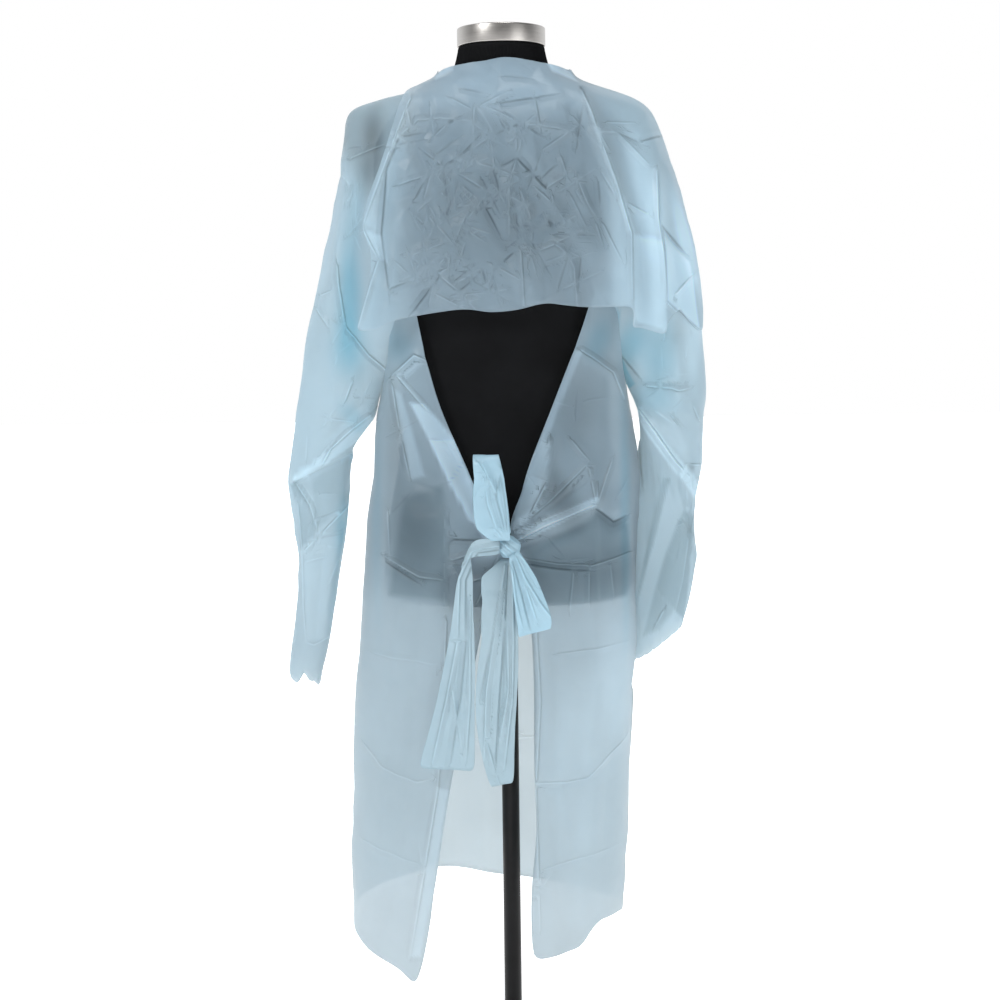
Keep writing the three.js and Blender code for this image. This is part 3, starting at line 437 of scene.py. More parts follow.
def nearest_crease(folds, x, z):
    """Distance of each place to the nearest narrow fold, less than nothing on its steep side, and the
    fold's lift. Folds that start where the one before them ends are one crease."""
    near = [fold for fold in folds if fold.width < CREASE_WIDTH]
    best, lift = np.full(len(x), 30 * MM), np.zeros(len(x))
    owner, other = np.full(len(x), -1), np.full(len(x), 30 * MM)
    crease, steep = 0, 1
    for number, fold in enumerate(near):
        before, after = near[max(number - 1, 0)], near[min(number + 1, len(near) - 1)]
        joined = number > 0 and (fold.x0, fold.z0) == (before.x1, before.z1)
        goes_on = number + 1 < len(near) and (fold.x1, fold.z1) == (after.x0, after.z0)
        if not joined:
            crease, steep = number, 1 if round(fold.x0 + fold.z0) % 2 else -1
        share, aside, beyond = beside(fold, x, z)
        away = np.hypot(aside, beyond)
        keeps = fading(np.maximum(share, FULLEST) if joined else share)
        keeps = np.where(goes_on & (share > FULLEST), 1.0, keeps)
        closer = away < np.abs(best)
        other = np.where(closer & (owner != crease), np.abs(best), other)
        other = np.where(~closer & (owner != crease), np.minimum(other, away), other)
        best = np.where(closer, np.where(aside * steep > 0, away, -away), best)
        lift = np.where(closer, fold.lift * MM * keeps, lift)
        owner = np.where(closer, crease, owner)
    alone = np.clip((other - np.abs(best)) / CREASE_PART, 0, 1)
    return best, lift * alone * np.clip((CREASE_REACH - np.abs(best)) / CREASE_FADE, 0, 1)


def small_creases(seed, places, leans, count, length, lift):
    """Short creases scattered round places, (x, z, spread across, spread up). Each one leans by about
    one of the leans, in degrees."""
    chance = random.Random(seed)
    folds = []
    for number in range(count):
        x, z, wide, high = places[number % len(places)]
        x, z = chance.gauss(x, wide), chance.gauss(z, high)
        lean = math.radians(chance.choice(leans) + chance.gauss(0, 14))
        half = length * chance.uniform(0.3, 1.0) / 2
        dx, dz = half * math.cos(lean), half * math.sin(lean)
        height = lift * chance.uniform(0.4, 1.0) * chance.choice((1, 1, 1, -1))
        folds.append(Fold(x - dx, z - dz, x + dx, z + dz, height, 6))
    return folds


# A patch of film in the view from behind: its four corners, the share by which it is doubled, or painted
# darker as shade if less than nothing, and how far its edges are blurred.
Patch = namedtuple("Patch", "x0 z0 x1 z1 x2 z2 x3 z3 share blur")


def patch_share(patches, x, z):
    """Share of the patches at each place: the strongest where they overlap."""
    share = np.zeros(len(x))
    for patch in (Patch(*row) for row in patches):
        corners = np.array(patch[:8]).reshape(4, 2) * MM
        ahead = np.roll(corners, -1, 0)
        turn = np.sign((corners[:, 0] * ahead[:, 1] - ahead[:, 0] * corners[:, 1]).sum())
        inside = np.full(len(x), 1.0)
        for (x0, z0), (x1, z1) in zip(corners, ahead):
            length = math.hypot(x1 - x0, z1 - z0)
            depth = turn * ((x1 - x0) * (z - z0) - (z1 - z0) * (x - x0)) / length
            inside = np.minimum(inside, depth)
        here = patch.share * np.clip(0.5 + inside / (patch.blur * MM), 0, 1)
        share = np.where(np.abs(here) > np.abs(share), here, share)
    return share


class Crumple:
    """A crumpled surface: flat facets between scattered points of uneven height."""

    SIZE = 1.7              # metres each way, which covers the whole gown

    def __init__(self, seed, spacing, height):
        chance = np.random.default_rng(seed)
        count = int(self.SIZE / spacing)
        grid = np.stack(np.meshgrid(np.arange(count), np.arange(count)), -1).reshape(-1, 2)
        flat = (grid + chance.uniform(-0.46, 0.46, grid.shape)) * spacing - self.SIZE / 2
        lifts = chance.normal(0, height, len(flat))
        corners = [Vector(p) for p in flat]
        faces = delaunay_2d_cdt(corners, [], [], 0, 1e-6)[2]
        raised = [(p[0], p[1], h) for p, h in zip(flat, lifts)]
        self.surface = BVHTree.FromPolygons(raised, faces)

    def at(self, across, up):
        down = Vector((0, 0, -1))
        heights = np.zeros(len(across))
        for i, (a, b) in enumerate(zip(across, up)):
            hit = self.surface.ray_cast(Vector((a, b, 1)), down)[0]
            if hit:
                heights[i] = hit[2]
        return heights

    def lift(self, places, normals):
        """Height at each place, looked up from the side that its normal faces. Each side has a part of
        the surface of its own."""
        share = np.abs(normals) ** 3
        share /= share.sum(1, keepdims=True)
        side = np.where(normals < 0, 0.31, -0.17)
        height = share[:, 1] * self.at(places[:, 0] + side[:, 1], places[:, 2] - 0.76)
        return height + share[:, 0] * self.at(places[:, 1] + side[:, 0], places[:, 2] - 0.7)


# A soft cloud of painted light and shade in the view from behind: its middle, its half sizes, the lean
# of its upright axis in degrees, and the share by which it is painted lighter, or darker as shade where
# less than nothing, or painted deeper blue as shade, than the film round it.
LightShadeCloud = namedtuple("LightShadeCloud", "x z half_width half_height lean share")


def light_and_shade_share(light_and_shade, x, z):
    share = np.zeros(len(x))
    for cloud in (LightShadeCloud(*row) for row in light_and_shade):
        cos, sin = math.cos(math.radians(cloud.lean)), math.sin(math.radians(cloud.lean))
        dx, dz = x / MM - cloud.x, z / MM - cloud.z
        across_it = (dx * cos - dz * sin) / cloud.half_width
        along_it = (dx * sin + dz * cos) / cloud.half_height
        share += cloud.share * np.exp(-((across_it**2 + along_it**2) ** 1.3))
    return share


def pull(places, x, z, move_x, move_z, reach):
    """Draws the film round one place aside by move_x and up by move_z."""
    near = np.exp(-(((places[:, 0] / MM - x) ** 2 + (places[:, 2] / MM - z) ** 2) / reach**2))
    places[:, 0] += near * move_x * MM
    places[:, 2] += near * move_z * MM
    return places


def drape(piece, back, front, crumples, gap, rounds):
    """Raises the folds of the back and the front, and the crumples, and keeps clear of the form."""
    places, normals = points_of(piece)
    facing = 2.2 * normals[:, 1]        # the folds fade only near the film's sides
    lift = np.clip(-facing, 0, 1) * fold_lift(back, places[:, 0], places[:, 2])
    lift += np.clip(facing, 0, 1) * fold_lift(front, places[:, 0], places[:, 2])
    for seed, spacing, height in crumples:
        lift += Crumple(seed, spacing * MM, height * MM).lift(places, normals)
    places = soften(piece, places + normals * lift[:, None], rounds)
    move_points(piece, stay_outside(places, gap * MM))


def stay_outside(places, gap):
    """Moves each place that is nearer to the form than the gap straight out from it."""
    moved = places.copy()
    for i, place in enumerate(places):
        spot, normal, *_ = FORM_SKIN.find_nearest(Vector(place), 30 * MM)
        if spot is None:
            continue
        outside = (Vector(place) - spot).dot(normal)
        if outside < gap:
            moved[i] = np.array(spot + normal * gap)
    return moved


def soften(piece, places, rounds, share=0.5):
    """Averages each point with its neighbours along the mesh's edges."""
    edges = np.empty(len(piece.data.edges) * 2, np.int64)
    piece.data.edges.foreach_get("vertices", edges)
    first, second = edges.reshape(-1, 2).T
    count = np.bincount(np.concatenate([first, second]), minlength=len(places))[:, None]
    for _ in range(rounds):
        total = np.zeros_like(places)
        np.add.at(total, first, places[second])
        np.add.at(total, second, places[first])
        places = places + share * (total / np.maximum(count, 1) - places)
    return places


VEIL_FROM = 2 * MM      # distance from the form where the film starts to veil it
VEIL_WHOLE = 36 * MM    # and where it veils it wholly


def veil(places):
    """Share of each place that hangs clear of the form."""
    share = np.ones(len(places))
    for i, place in enumerate(places):
        distance = FORM_SKIN.find_nearest(Vector(place), 40 * MM)[3]
        if distance is not None:
            share[i] = np.interp(distance, (VEIL_FROM, VEIL_WHOLE), (0, 1))
    return share


def level(value, places):
    """A value for every place, from one number or from a function of the places."""
    return value(places) if callable(value) else np.full(len(places), float(value))


HIPS = 965 * MM         # below this level patches of painted shade stay darker, and above it they are only painted deeper blue
LOW_DEEP = 0.35         # how blue a patch of painted shade is below the hips, against one above them
FRONT_SHADE = 0.2       # how much darker the front is below the lower of these two levels
FRONT_SHADE_LEVELS = (0.7, 0.9)


def finish_sheet(piece, crumple, blue, back, patches=(), light_and_shade=(), shade_deeps=(), front=(), behind=0,
                 material=None):
    """Gives the sheet its thickness and its looks. back and front are its folds on each side, and its
    back is what lies behind the given depth."""
    wall = piece.modifiers.new("wall", "SOLIDIFY")
    wall.thickness = FILM_THICK
    wall.offset = -1
    apply_modifiers(piece)
    shade_smooth(piece)
    places, _ = points_of(piece)
    x, z = places[:, 0], places[:, 2]
    rear = places[:, 1] < behind * MM
    low = z < HIPS
    marks = zip(nearest_crease(back, x, z), nearest_crease(front, x, z))
    aside, raised = (np.where(rear, *pair) for pair in marks)
    # Painted light and shade: doubled film and painted shade from the patches, painted light and shade
    # from the clouds, painted shade on the lower front, and painted shade as deeper blue
    doubled_light_shade = patch_share(patches, x, z)
    shade_patches = np.where(low, LOW_DEEP, 1) * np.maximum(-doubled_light_shade, 0)
    lighter = np.where(low, doubled_light_shade, np.maximum(doubled_light_shade, 0)) + light_and_shade_share(light_and_shade, x, z)
    looks = {
        "crumple": level(crumple, places),
        "blue": level(blue, places),
        "veil": veil(places),
        "doubled_light_shade": np.where(rear, lighter, np.interp(z, FRONT_SHADE_LEVELS, (-FRONT_SHADE, 0))),
        "shade_deep": rear * (shade_patches + light_and_shade_share(shade_deeps, x, z)),
        "crease": aside,
        "crease_lift": raised,
    }
    paint(piece, looks, material or FILM)


def across(places, axis, low, high):
    """Share of the way from low to high along one axis, eased at both ends."""
    share = np.clip((places[:, axis] - low) / (high - low), 0, 1)
    return share * share * (3 - 2 * share)


# ---- dress form ----------------------------------------------------------------------------------


def form_cover():
    """Smooth jersey cover over the torso. Gives its surface, which the cloth stays outside."""
    cover = merged_copy("form_torso", "torso_cover", 0.6, 1.2)
    subdivide(cover, 2)
    shade_smooth(cover)
    cover.data.materials.clear()
    cover.data.materials.append(JERSEY)
    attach(cover, "root")
    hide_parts("form_torso")
    bm = bmesh.new()
    bm.from_mesh(cover.data)
    skin = BVHTree.FromBMesh(bm)
    bm.free()
    return skin


FORM_SKIN = form_cover()


def turned(node, name, sides, profile, finish, smooth=38, ribs=None):
    """A round piece about the stand's axis, raised ring by ring. profile lists (radius, height), and
    ribs gives the depth of upright ribs and the rings that have them."""
    radius, level = profile[0]
    bpy.ops.mesh.primitive_circle_add(vertices=sides, radius=radius * MM, fill_type="NGON")
    piece = bpy.context.object
    piece.name = name
    bpy.ops.object.mode_set(mode="EDIT")
    bpy.ops.mesh.select_all(action="SELECT")
    bpy.ops.transform.translate(value=(0, 0, level * MM))
    for next_radius, next_level in profile[1:]:
        rise = (0, 0, (next_level - level) * MM)
        bpy.ops.mesh.extrude_region_move(TRANSFORM_OT_translate={"value": rise})
        share = next_radius / radius
        bpy.ops.transform.resize(value=(share, share, 1), center_override=(0, 0, 0))
        radius, level = next_radius, next_level
    bpy.ops.mesh.select_all(action="DESELECT")
    bpy.ops.object.mode_set(mode="OBJECT")
    if ribs:
        depth, low, high = ribs
        for vertex in piece.data.vertices:
            x, y, z = vertex.co / MM
            turn = round(math.atan2(y, x) / math.tau * sides)
            vertex.select = turn % 2 == 0 and low < z < high
        bpy.ops.object.mode_set(mode="EDIT")
        share = 1 - depth / radius
        bpy.ops.transform.resize(value=(share, share, 1), center_override=(0, 0, 0))
        bpy.ops.object.mode_set(mode="OBJECT")
    bpy.ops.object.mode_set(mode="EDIT")
    bpy.ops.mesh.select_all(action="SELECT")
    bpy.ops.mesh.normals_make_consistent(inside=False)
    bpy.ops.object.mode_set(mode="OBJECT")
    bpy.ops.object.shade_smooth_by_angle(angle=math.radians(smooth))
    piece.data.materials.append(finish)
    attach(piece, "root")
    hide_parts(node)


NECK = [(67.4, 1477.4), (66.3, 1480.5), (64.8, 1484.5), (63.2, 1489), (62, 1494), (60.6, 1499),
        (59.5, 1504), (58.5, 1508.5), (58, 1512), (57.3, 1513.8), (55.8, 1514.4), (30, 1514.4)]
CAP = [(56, 1515), (58.4, 1515), (58.8, 1515.4), (59, 1516.2), (59, 1537.2), (58.8, 1538.2),
       (58.2, 1538.8), (57.2, 1539), (54, 1538.6), (20, 1538.4)]
POLE = [(11.6, 9.6), (12, 10.2), (12, 771.2), (11.6, 771.6)]
COLLAR = [(12.4, 9.4), (36, 9.4), (37, 10.2), (37, 13.8), (36, 15), (28, 17.6), (25.4, 21.5),
          (24.6, 26), (22.2, 66), (21.6, 69.6), (20, 71.2), (12.4, 71.2)]
BASE = [(163, 0.1), (164.6, 0.8), (165, 2), (165, 6), (164.4, 7.8), (162.5, 8.9), (100, 9), (40, 9)]

turned("form_neck", "neck_rib", 400, NECK, JERSEY, smooth=80, ribs=(0.45, 1478, 1512.5))
turned("form_cap", "neck_cap", 128, CAP, STEEL)
turned("form_pole", "stand_pole", 64, POLE, BLACK)
turned("form_collar", "pole_collar", 96, COLLAR, BLACK)
turned("form_base", "stand_base", 160, BASE, BLACK)

# ---- back yoke -----------------------------------------------------------------------------------

YOKE_FOLDS = creases(
    # drape folds that hang from the left shoulder
    (3.0, 11, -119, 1440, -185, 1274),
    (-3.0, 9, -132, 1393, -152, 1347, -160, 1264),
    (-2.6, 10, -160, 1264, -150, 1181),
    (2.6, 8, -185, 1274, -166, 1236),
    (2.0, 7, -164, 1232, -174, 1204),
    (2.6, 9, -174, 1204, -194, 1140),
    # star below the left shoulder
    (2.2, 10, -135, 1389, -110, 1411),
    (1.8, 9, -110, 1411, -81, 1413),
    (1.6, 9, -81, 1413, -41, 1408),
    (-1.8, 9, -135, 1389, -103, 1395),
    (1.5, 7, -135, 1389, -118, 1379),
    (2.6, 13, -135, 1389, -102, 1327),
    # star on the left shoulder blade
    (2.4, 10, -77, 1350, -106, 1374),
    (-2.0, 9, -77, 1350, -58, 1362),
    (2.4, 10, -63, 1360, -11, 1347),
    (2.0, 10, -11, 1347, 29, 1330),
    (-3.4, 13, -77, 1350, -28, 1307),
    (2.2, 8, -54, 1338, -16, 1314),
    (2.6, 14, -77, 1350, -138, 1285),
    (-2.2, 10, -77, 1350, -72, 1303),
    # star in the middle
    (3.0, 13, -28, 1305, -84, 1249),
    (2.2, 11, -84, 1249, -121, 1236),
    (-2.8, 11, -28, 1305, -5, 1260),
    (2.0, 7, -9, 1321, 1, 1302),
    # star below the nape
    (2.4, 11, 24, 1404, -15, 1424),
    (-2.2, 9, 24, 1404, -8, 1391),
    (2.4, 10, 24, 1404, 74, 1397),
    (1.6, 8, 74, 1397, 89, 1393),
    (1.8, 8, 89, 1393, 99, 1383),
    (-2.2, 9, 24, 1404, 54, 1386),
    # star on the right shoulder blade
    (2.4, 9, 17, 1396, 18, 1360),
    (-2.0, 8, 18, 1360, -6, 1347),
    (-3.0, 12, 18, 1360, 55, 1320),
    (2.2, 10, 55, 1320, 86, 1339),
    (2.4, 9, 41, 1320, 65, 1299),
    (2.0, 8, 65, 1299, 79, 1278),
    (1.6, 7, 79, 1278, 91, 1276),
    # upright creases
    (2.0, 8, -37, 1425, -38, 1390),
    (2.8, 10, 7, 1333, 7, 1262),
    (-2.0, 8, 15, 1298, 19, 1250),
    # short creases between the stars
    (-2.4, 9, 2, 1431, 73, 1442),
    (1.8, 8, -26, 1429, 7, 1445),
    (-1.6, 7, -50, 1451, -24, 1445),
    (-1.4, 7, 5, 1466, 36, 1464),
    (2.2, 9, 22, 1316, 36, 1278),
    (-1.8, 7, 36, 1278, 50, 1287),
    (2.0, 8, 50, 1287, 60, 1271),
    (-1.8, 7, 60, 1271, 79, 1279),
    (2.4, 10, 94, 1336, 108, 1301),
    (2.0, 8, 108, 1301, 119, 1284),
    (2.2, 9, 69, 1251, 110, 1270),
    # above the free edge
    (2.2, 9, -82, 1208, -59, 1189, -35, 1162),
    (-2.6, 12, -85, 1208, -126, 1157),
    (2.0, 8, -88, 1185, -49, 1165),
    (2.0, 7, -62, 1244, -53, 1225),
    (-2.2, 9, -59, 1189, -27, 1217),
    (2.4, 10, -17, 1224, 21, 1202),
    (-2.4, 9, -8, 1219, 21, 1245),
    (2.6, 11, 21, 1245, 25, 1169),
    (2.8, 11, 30, 1234, 66, 1248),
    (2.2, 9, 66, 1248, 83, 1235),
    (2.0, 9, 83, 1235, 90, 1218),
    (2.4, 11, 90, 1218, 94, 1168),
    # fold ridge and gathers on the right
    (2.6, 9, 105, 1446, 117, 1415),
    (2.8, 9, 117, 1415, 124, 1392),
    (3.0, 10, 124, 1392, 145, 1332),
    (3.2, 10, 145, 1332, 166, 1261),
    (3.0, 10, 166, 1261, 166, 1177),
    (-2.4, 10, 150, 1393, 188, 1377),
    (2.6, 10, 150, 1393, 190, 1353),
    (2.2, 9, 150, 1393, 124, 1392),
    (2.2, 8, 164, 1299, 188, 1287),
    (2.8, 9, 202, 1343, 202, 1282),
    (2.6, 9, 202, 1282, 209, 1236, 212, 1176),
    (-2.6, 10, 207, 1272, 245, 1233),
    (2.2, 8, 226, 1183, 250, 1207),
    (2.2, 8, 214, 1171, 252, 1137),
)
YOKE_DOUBLES = [
    (-119, 1440, -135, 1389, -154, 1333, -161, 1333, 0.35, 3),
    (-148, 1369, -151, 1347, -160, 1264, -183, 1280, 0.2, 4),
    (-185, 1272, -160, 1264, -152, 1228, -165, 1236, 0.5, 4),
    (167, 1261, 208, 1253, 213, 1133, 169, 1147, 0.5, 3),
    (211, 1263, 247, 1224, 260, 1136, 213, 1172, 0.9, 3),
    (108, 1431, 114, 1431, 171, 1263, 160, 1263, 0.35, 3),
    (-91, 1475, -67, 1488, -65, 1479, -86, 1468, 0.8, 6),
    (58, 1488, 92, 1478, 98, 1463, 66, 1476, 1.1, 5),
]
# Soft clouds of painted light, and of painted shade where the share is less than nothing.
YOKE_LIGHT_AND_SHADE = [
    (187, 1311, 27, 82, -12, 0.8),
    (8, 1455, 150, 38, 0, 0.75),
    (-11, 1286, 109, 68, 0, -0.35),
    (148, 1227, 22, 82, -8, 0.4),
    (125, 1273, 19, 49, -12, -0.35),
    (-170, 1302, 16, 49, 8, -0.25),
    (242, 1252, 12, 68, -14, 1.2),
]


# The back's film is crushed most between the shoulder blades.
YOKE_CRUSH_PLACES = [(20, 1340, 62, 40), (-10, 1290, 60, 40), (60, 1250, 40, 36), (-60, 1330, 40, 46),
                     (-90, 1280, 22, 60), (0, 1405, 80, 14), (-40, 1215, 60, 16)]
YOKE_CRUSH = small_creases(71, YOKE_CRUSH_PLACES, (-35, 20, 32, 78, -70), 130, 56, 2.6)

# The hem's lappet on the right ends square: x, z, move across, move up, reach.
LAPPET_CORNERS = [(171, 1148, -5, -7, 8), (205, 1136, 5, -4, 8)]


def make_yoke():
    yoke = outer_sheet("back_yoke", "yoke_film")
    subdivide(yoke, 3)
    places, normals = points_of(yoke)
    lift = 1.5 * fold_lift(YOKE_FOLDS, places[:, 0], places[:, 2])
    middle = 1 - across(np.abs(places - [0.005, 0, 0]), 0, 0.13, 0.19)
    crushed = 0.35 + 0.65 * middle      # least over the shoulders
    for seed, spacing, height in ((11, 36, 2.6), (12, 15, 0.9)):
        lift += crushed * Crumple(seed, spacing * MM, height * MM).lift(places, normals)
    places = places + normals * lift[:, None]
    places = soften(yoke, places, 1, 0.2)
    for corner in LAPPET_CORNERS:
        places = pull(places, *corner)
    move_points(yoke, stay_outside(places, 1.0 * MM))
    finish_sheet(yoke, lambda p: 1 - 0.6 * across(np.abs(p), 0, 0.12, 0.2),
                 lambda p: across(np.abs(p), 0, 0.1, 0.19),
                 YOKE_FOLDS + YOKE_CRUSH, YOKE_DOUBLES, YOKE_LIGHT_AND_SHADE, behind=10)
    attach(yoke, "root")
    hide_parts("back_yoke")


make_yoke()

# ---- body ----------------------------------------------------------------------------------------

BODY_FOLDS = creases(
    # top of the left wing
    (4, 10, -150, 1081, -120, 1107, -104, 1100),
    (3.4, 9, -144, 1080, -123, 1056, -103, 1034),
    # left wing, down to the knot
    (4, 12, -151, 1068, -141, 1003, -129, 948),
    (5, 16, -127, 1045, -97, 992, -74, 947, -49, 903, -18, 865),
    (-4, 14, -112, 1050, -81, 997, -59, 945, -39, 898),
    (-3, 14, -125, 943, -88, 932, -79, 903),
    # upright pair below the left wing
    (1.6, 8, -82, 904, -84, 783),
    (-1.2, 8, -76, 904, -78, 783),
    # left hip
    (3.4, 7, -163, 841, -136, 827, -118, 818, -80, 814),
    (-2.4, 9, -162, 834, -136, 819, -118, 809),
    (2.4, 8, -159, 900, -157, 846),
    # drawn to the knot from the left
    (2.4, 7, -75, 835, -66, 822),
    (2.2, 7, -46, 814, -26, 819),
    (2.6, 8, -40, 787, -23, 823, -10, 850),
    (2.6, 9, -73, 841, -42, 851, -13, 861),
    (-3, 10, -78, 867, -49, 866, -18, 866),
    # right wing, down to the knot
    (3.6, 9, 99, 1111, 115, 1101, 143, 1081, 159, 1045),
    (5, 12, 55, 995, 53, 943, 29, 898, 11, 876),
    (2.8, 7, 53, 988, 53, 933),
    # drawn to the knot from the right
    (6, 12, 8, 864, 49, 884, 117, 909),
    (-5, 15, 19, 879, 58, 907, 108, 948),
    (4, 11, 13, 883, 54, 914, 107, 963),
    (-5, 16, 16, 855, 68, 870, 118, 888),
    (3.6, 8, 108, 956, 117, 910),
    (3, 9, 119, 910, 131, 943, 140, 966),
    (-3.4, 10, 118, 901, 141, 882, 159, 889),
    (2.8, 8, 86, 993, 108, 966),
    # right hip
    (3.2, 7, 8, 847, 24, 841, 64, 833, 112, 828, 161, 839),
    (-2.4, 9, 28, 834, 65, 827, 112, 821),
    (2.6, 7, 107, 826, 106, 777),
    (2.4, 7, 86, 824, 80, 770),
    (2.2, 8, 136, 825, 140, 785),
    # level creases where the skirt was folded
    (1.4, 6, -197, 584, -175, 561, -150, 550, -125, 544, -108, 548),
    (1.4, 6, 29, 542, 73, 540, 103, 542, 118, 556, 138, 573, 161, 589),
    # long folds of the skirt
    (2.4, 12, -82, 761, -87, 655, -97, 535, -138, 304),
    (-4, 16, -57, 735, -63, 628, -78, 532, -119, 331),
    (2.2, 12, 35, 760, 40, 653, 33, 533, 36, 343),
    (-3.6, 16, 61, 733, 66, 626, 59, 519, 65, 342),
    (3, 14, 109, 772, 116, 666, 105, 559),
    (-3, 16, 138, 759, 140, 652, 131, 531, 125, 410),
    (3, 14, -145, 776, -155, 669, -167, 562, -178, 427),
    (-3, 16, -119, 775, -126, 656, -141, 535, -160, 414),
    # faint level creases of the skirt
    (1, 6, -180, 710, -96, 703),
    (1, 6, 66, 713, 156, 718),
    (1, 6, -199, 452, -117, 432),
    (1, 6, 44, 427, 143, 439),
)
BODY_DOUBLED_AND_SHADE = [
    (-102, 997, -68, 997, -57, 968, -76, 941, 1.6, 4),
    (-127, 1045, -108, 1044, -67, 996, -102, 996, 1.1, 4),
    (-76, 941, -57, 968, -41, 938, -47, 891, 1.6, 4),
    (-62, 919, -42, 940, -21, 872, -26, 865, 1.6, 4),
    (-149, 1063, -138, 1055, -108, 949, -127, 943, 0.55, 5),
    (43, 996, 55, 995, 53, 943, 25, 951, 0.5, 4),
    (25, 952, 53, 944, 20, 879, 5, 906, 0.6, 4),
    (91, 1109, 102, 1111, 16, 911, 5, 905, 0.5, 3),
    (15, 866, 18, 880, 117, 918, 116, 906, 1.2, 4),
    (-149, 1081, -121, 1107, -106, 1099, -138, 1071, 0.4, 5),
    (-143, 1076, -137, 1078, -99, 1034, -104, 1031, 0.5, 3),
    # painted shade over the hips
    (-137, 920, -85, 937, -79, 788, -158, 791, -0.4, 9),
    (26, 849, 119, 896, 120, 780, 33, 779, -0.4, 8),
    (119, 896, 160, 877, 158, 782, 120, 780, -0.4, 8),
    (-98, 540, -77, 532, -124, 304, -138, 302, 0.4, 4),
]
# Soft clouds of painted light, and of painted shade where the share is less than nothing.
BODY_LIGHT_AND_SHADE = [
    (-122, 880, 38, 68, 0, -0.7),
    (-53, 800, 33, 46, 0, -0.9),
    (100, 818, 82, 41, 0, -0.45),
    (71, 917, 44, 19, 62, -0.8),
    (93, 1034, 30, 54, 20, -0.4),
    (146, 690, 30, 109, 0, 0.5),
    (108, 556, 68, 245, 0, 0.4),
    (148, 935, 14, 109, 0, 0.4),
    (-148, 998, 14, 68, 0, -0.4),
]
# Soft clouds of painted shade, laid as deeper blue.
BODY_SHADE_DEEPS = [
    (158, 889, 8, 150, 0, 0.5),
    (-175, 893, 8, 122, 0, 0.25),
    (123, 1124, 16, 27, 20, 0.5),
    (-142, 1121, 19, 24, -10, 0.4),
]

FRONT_FOLDS = creases(
    # creases of the folded packing
    (3, 8, 0, 1400, 4, 300),
    (2.6, 8, -205, 1182, 205, 1178),
    (2.6, 8, -214, 872, -20, 866),
    (2.4, 8, 30, 866, 216, 874),
    (2.6, 8, -205, 552, -40, 546),
    (2.4, 8, 10, 545, 190, 553),
    (2.2, 8, -104, 1340, -112, 330),
    (2.4, 8, 108, 1330, 114, 360),
    # long folds that hang from the chest
    (7, 34, -70, 1260, -88, 420),
    (-6, 30, -30, 1120, -34, 360),
    (7, 32, 44, 1230, 58, 380),
    (-6, 30, 88, 1040, 96, 400),
    (6, 30, -128, 900, -150, 420),
    (6, 32, 140, 880, 158, 440),
    (5, 26, 12, 700, 18, 330),
    # pulled from the armholes and towards the ties
    (4, 16, -150, 1100, -60, 1010),
    (4, 15, 150, 1110, 70, 1020),
    (3, 12, -130, 1160, -70, 1140),
    (3, 12, 128, 1150, 76, 1122),
    (4, 16, -196, 880, -110, 902),
    (-4, 16, -200, 852, -96, 836),
    (4, 16, 198, 884, 104, 908),
    (-4, 15, 200, 858, 110, 838),
    (3, 12, -60, 1380, -20, 1340),
    (3, 12, 52, 1376, 24, 1330),
)


def upright(edge):
    """True for an edge of the grid that runs up and down."""
    run = edge.verts[1].co - edge.verts[0].co
    return abs(run.z) > 0.7 * run.length


def bell(value, middle, half):
    """One at the middle, easing to nothing on both sides."""
    share = np.clip(1 - np.abs(value - middle) / half, 0, 1)
    return share * share * (3 - 2 * share)


# How far the wings' free edges are drawn in under the ties, at what level, and over what half height.
DRAWN_LEFT = (24, 842, 66)
DRAWN_RIGHT = (15, 878, 56)


def draw_to_knot(places):
    """Draws the free edges of both wings in under the ties."""
    x, y, z = (places / MM).T
    wings = (y < -60) * (1 - np.clip(np.abs(x) / 80, 0, 1))
    left, right = (far * bell(z, middle, half) for far, middle, half in (DRAWN_LEFT, DRAWN_RIGHT))
    places = places.copy()
    places[:, 0] += MM * wings * (np.where(x < 0, left, 0) - np.where(x > 0, right, 0))
    return places


def body_blue(places):
    """The back wings are bluer under the arms and along their free edges, and the front all over."""
    high = across(places, 2, 0.9, 1.12) * across(np.abs(places), 0, 0.06, 0.15)
    front = across(places, 1, -0.02, 0.06)
    return np.maximum(np.maximum(high, 0.25), 0.6 * front)


BODY_LEANS = (-40, 15, 60, 88)
FRONT_CRUSH_PLACES = [(0, 1220, 90, 90), (60, 900, 70, 120), (-60, 600, 80, 150)]
BODY_CRUSH_PLACES = [(60, 1010, 50, 60), (-90, 1000, 40, 60), (0, 560, 160, 150), (70, 880, 60, 40)]
FRONT_CRUSH = small_creases(73, FRONT_CRUSH_PLACES, BODY_LEANS, 60, 50, 1.4)
BODY_CRUSH = small_creases(72, BODY_CRUSH_PLACES, BODY_LEANS, 34, 50, 0.9)


def make_body():
    body = outer_sheet("front_body", "body_film")
    subdivide(body, 2)
    split_edges(body, lambda e: upright(e) and e.verts[0].co.y < 0 and e.verts[1].co.y < 0, 3)
    drape(body, BODY_FOLDS, FRONT_FOLDS, ((21, 85, 2.6), (22, 30, 0.6)), 0.8, 1)
    places, _ = points_of(body)
    move_points(body, draw_to_knot(places))
    finish_sheet(body, 0.35, body_blue, BODY_FOLDS + BODY_CRUSH, BODY_DOUBLED_AND_SHADE, BODY_LIGHT_AND_SHADE, BODY_SHADE_DEEPS,
                 FRONT_FOLDS + FRONT_CRUSH, behind=-20)
    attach(body, "root")
    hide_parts("front_body")


make_body()

# ---- sleeves -------------------------------------------------------------------------------------

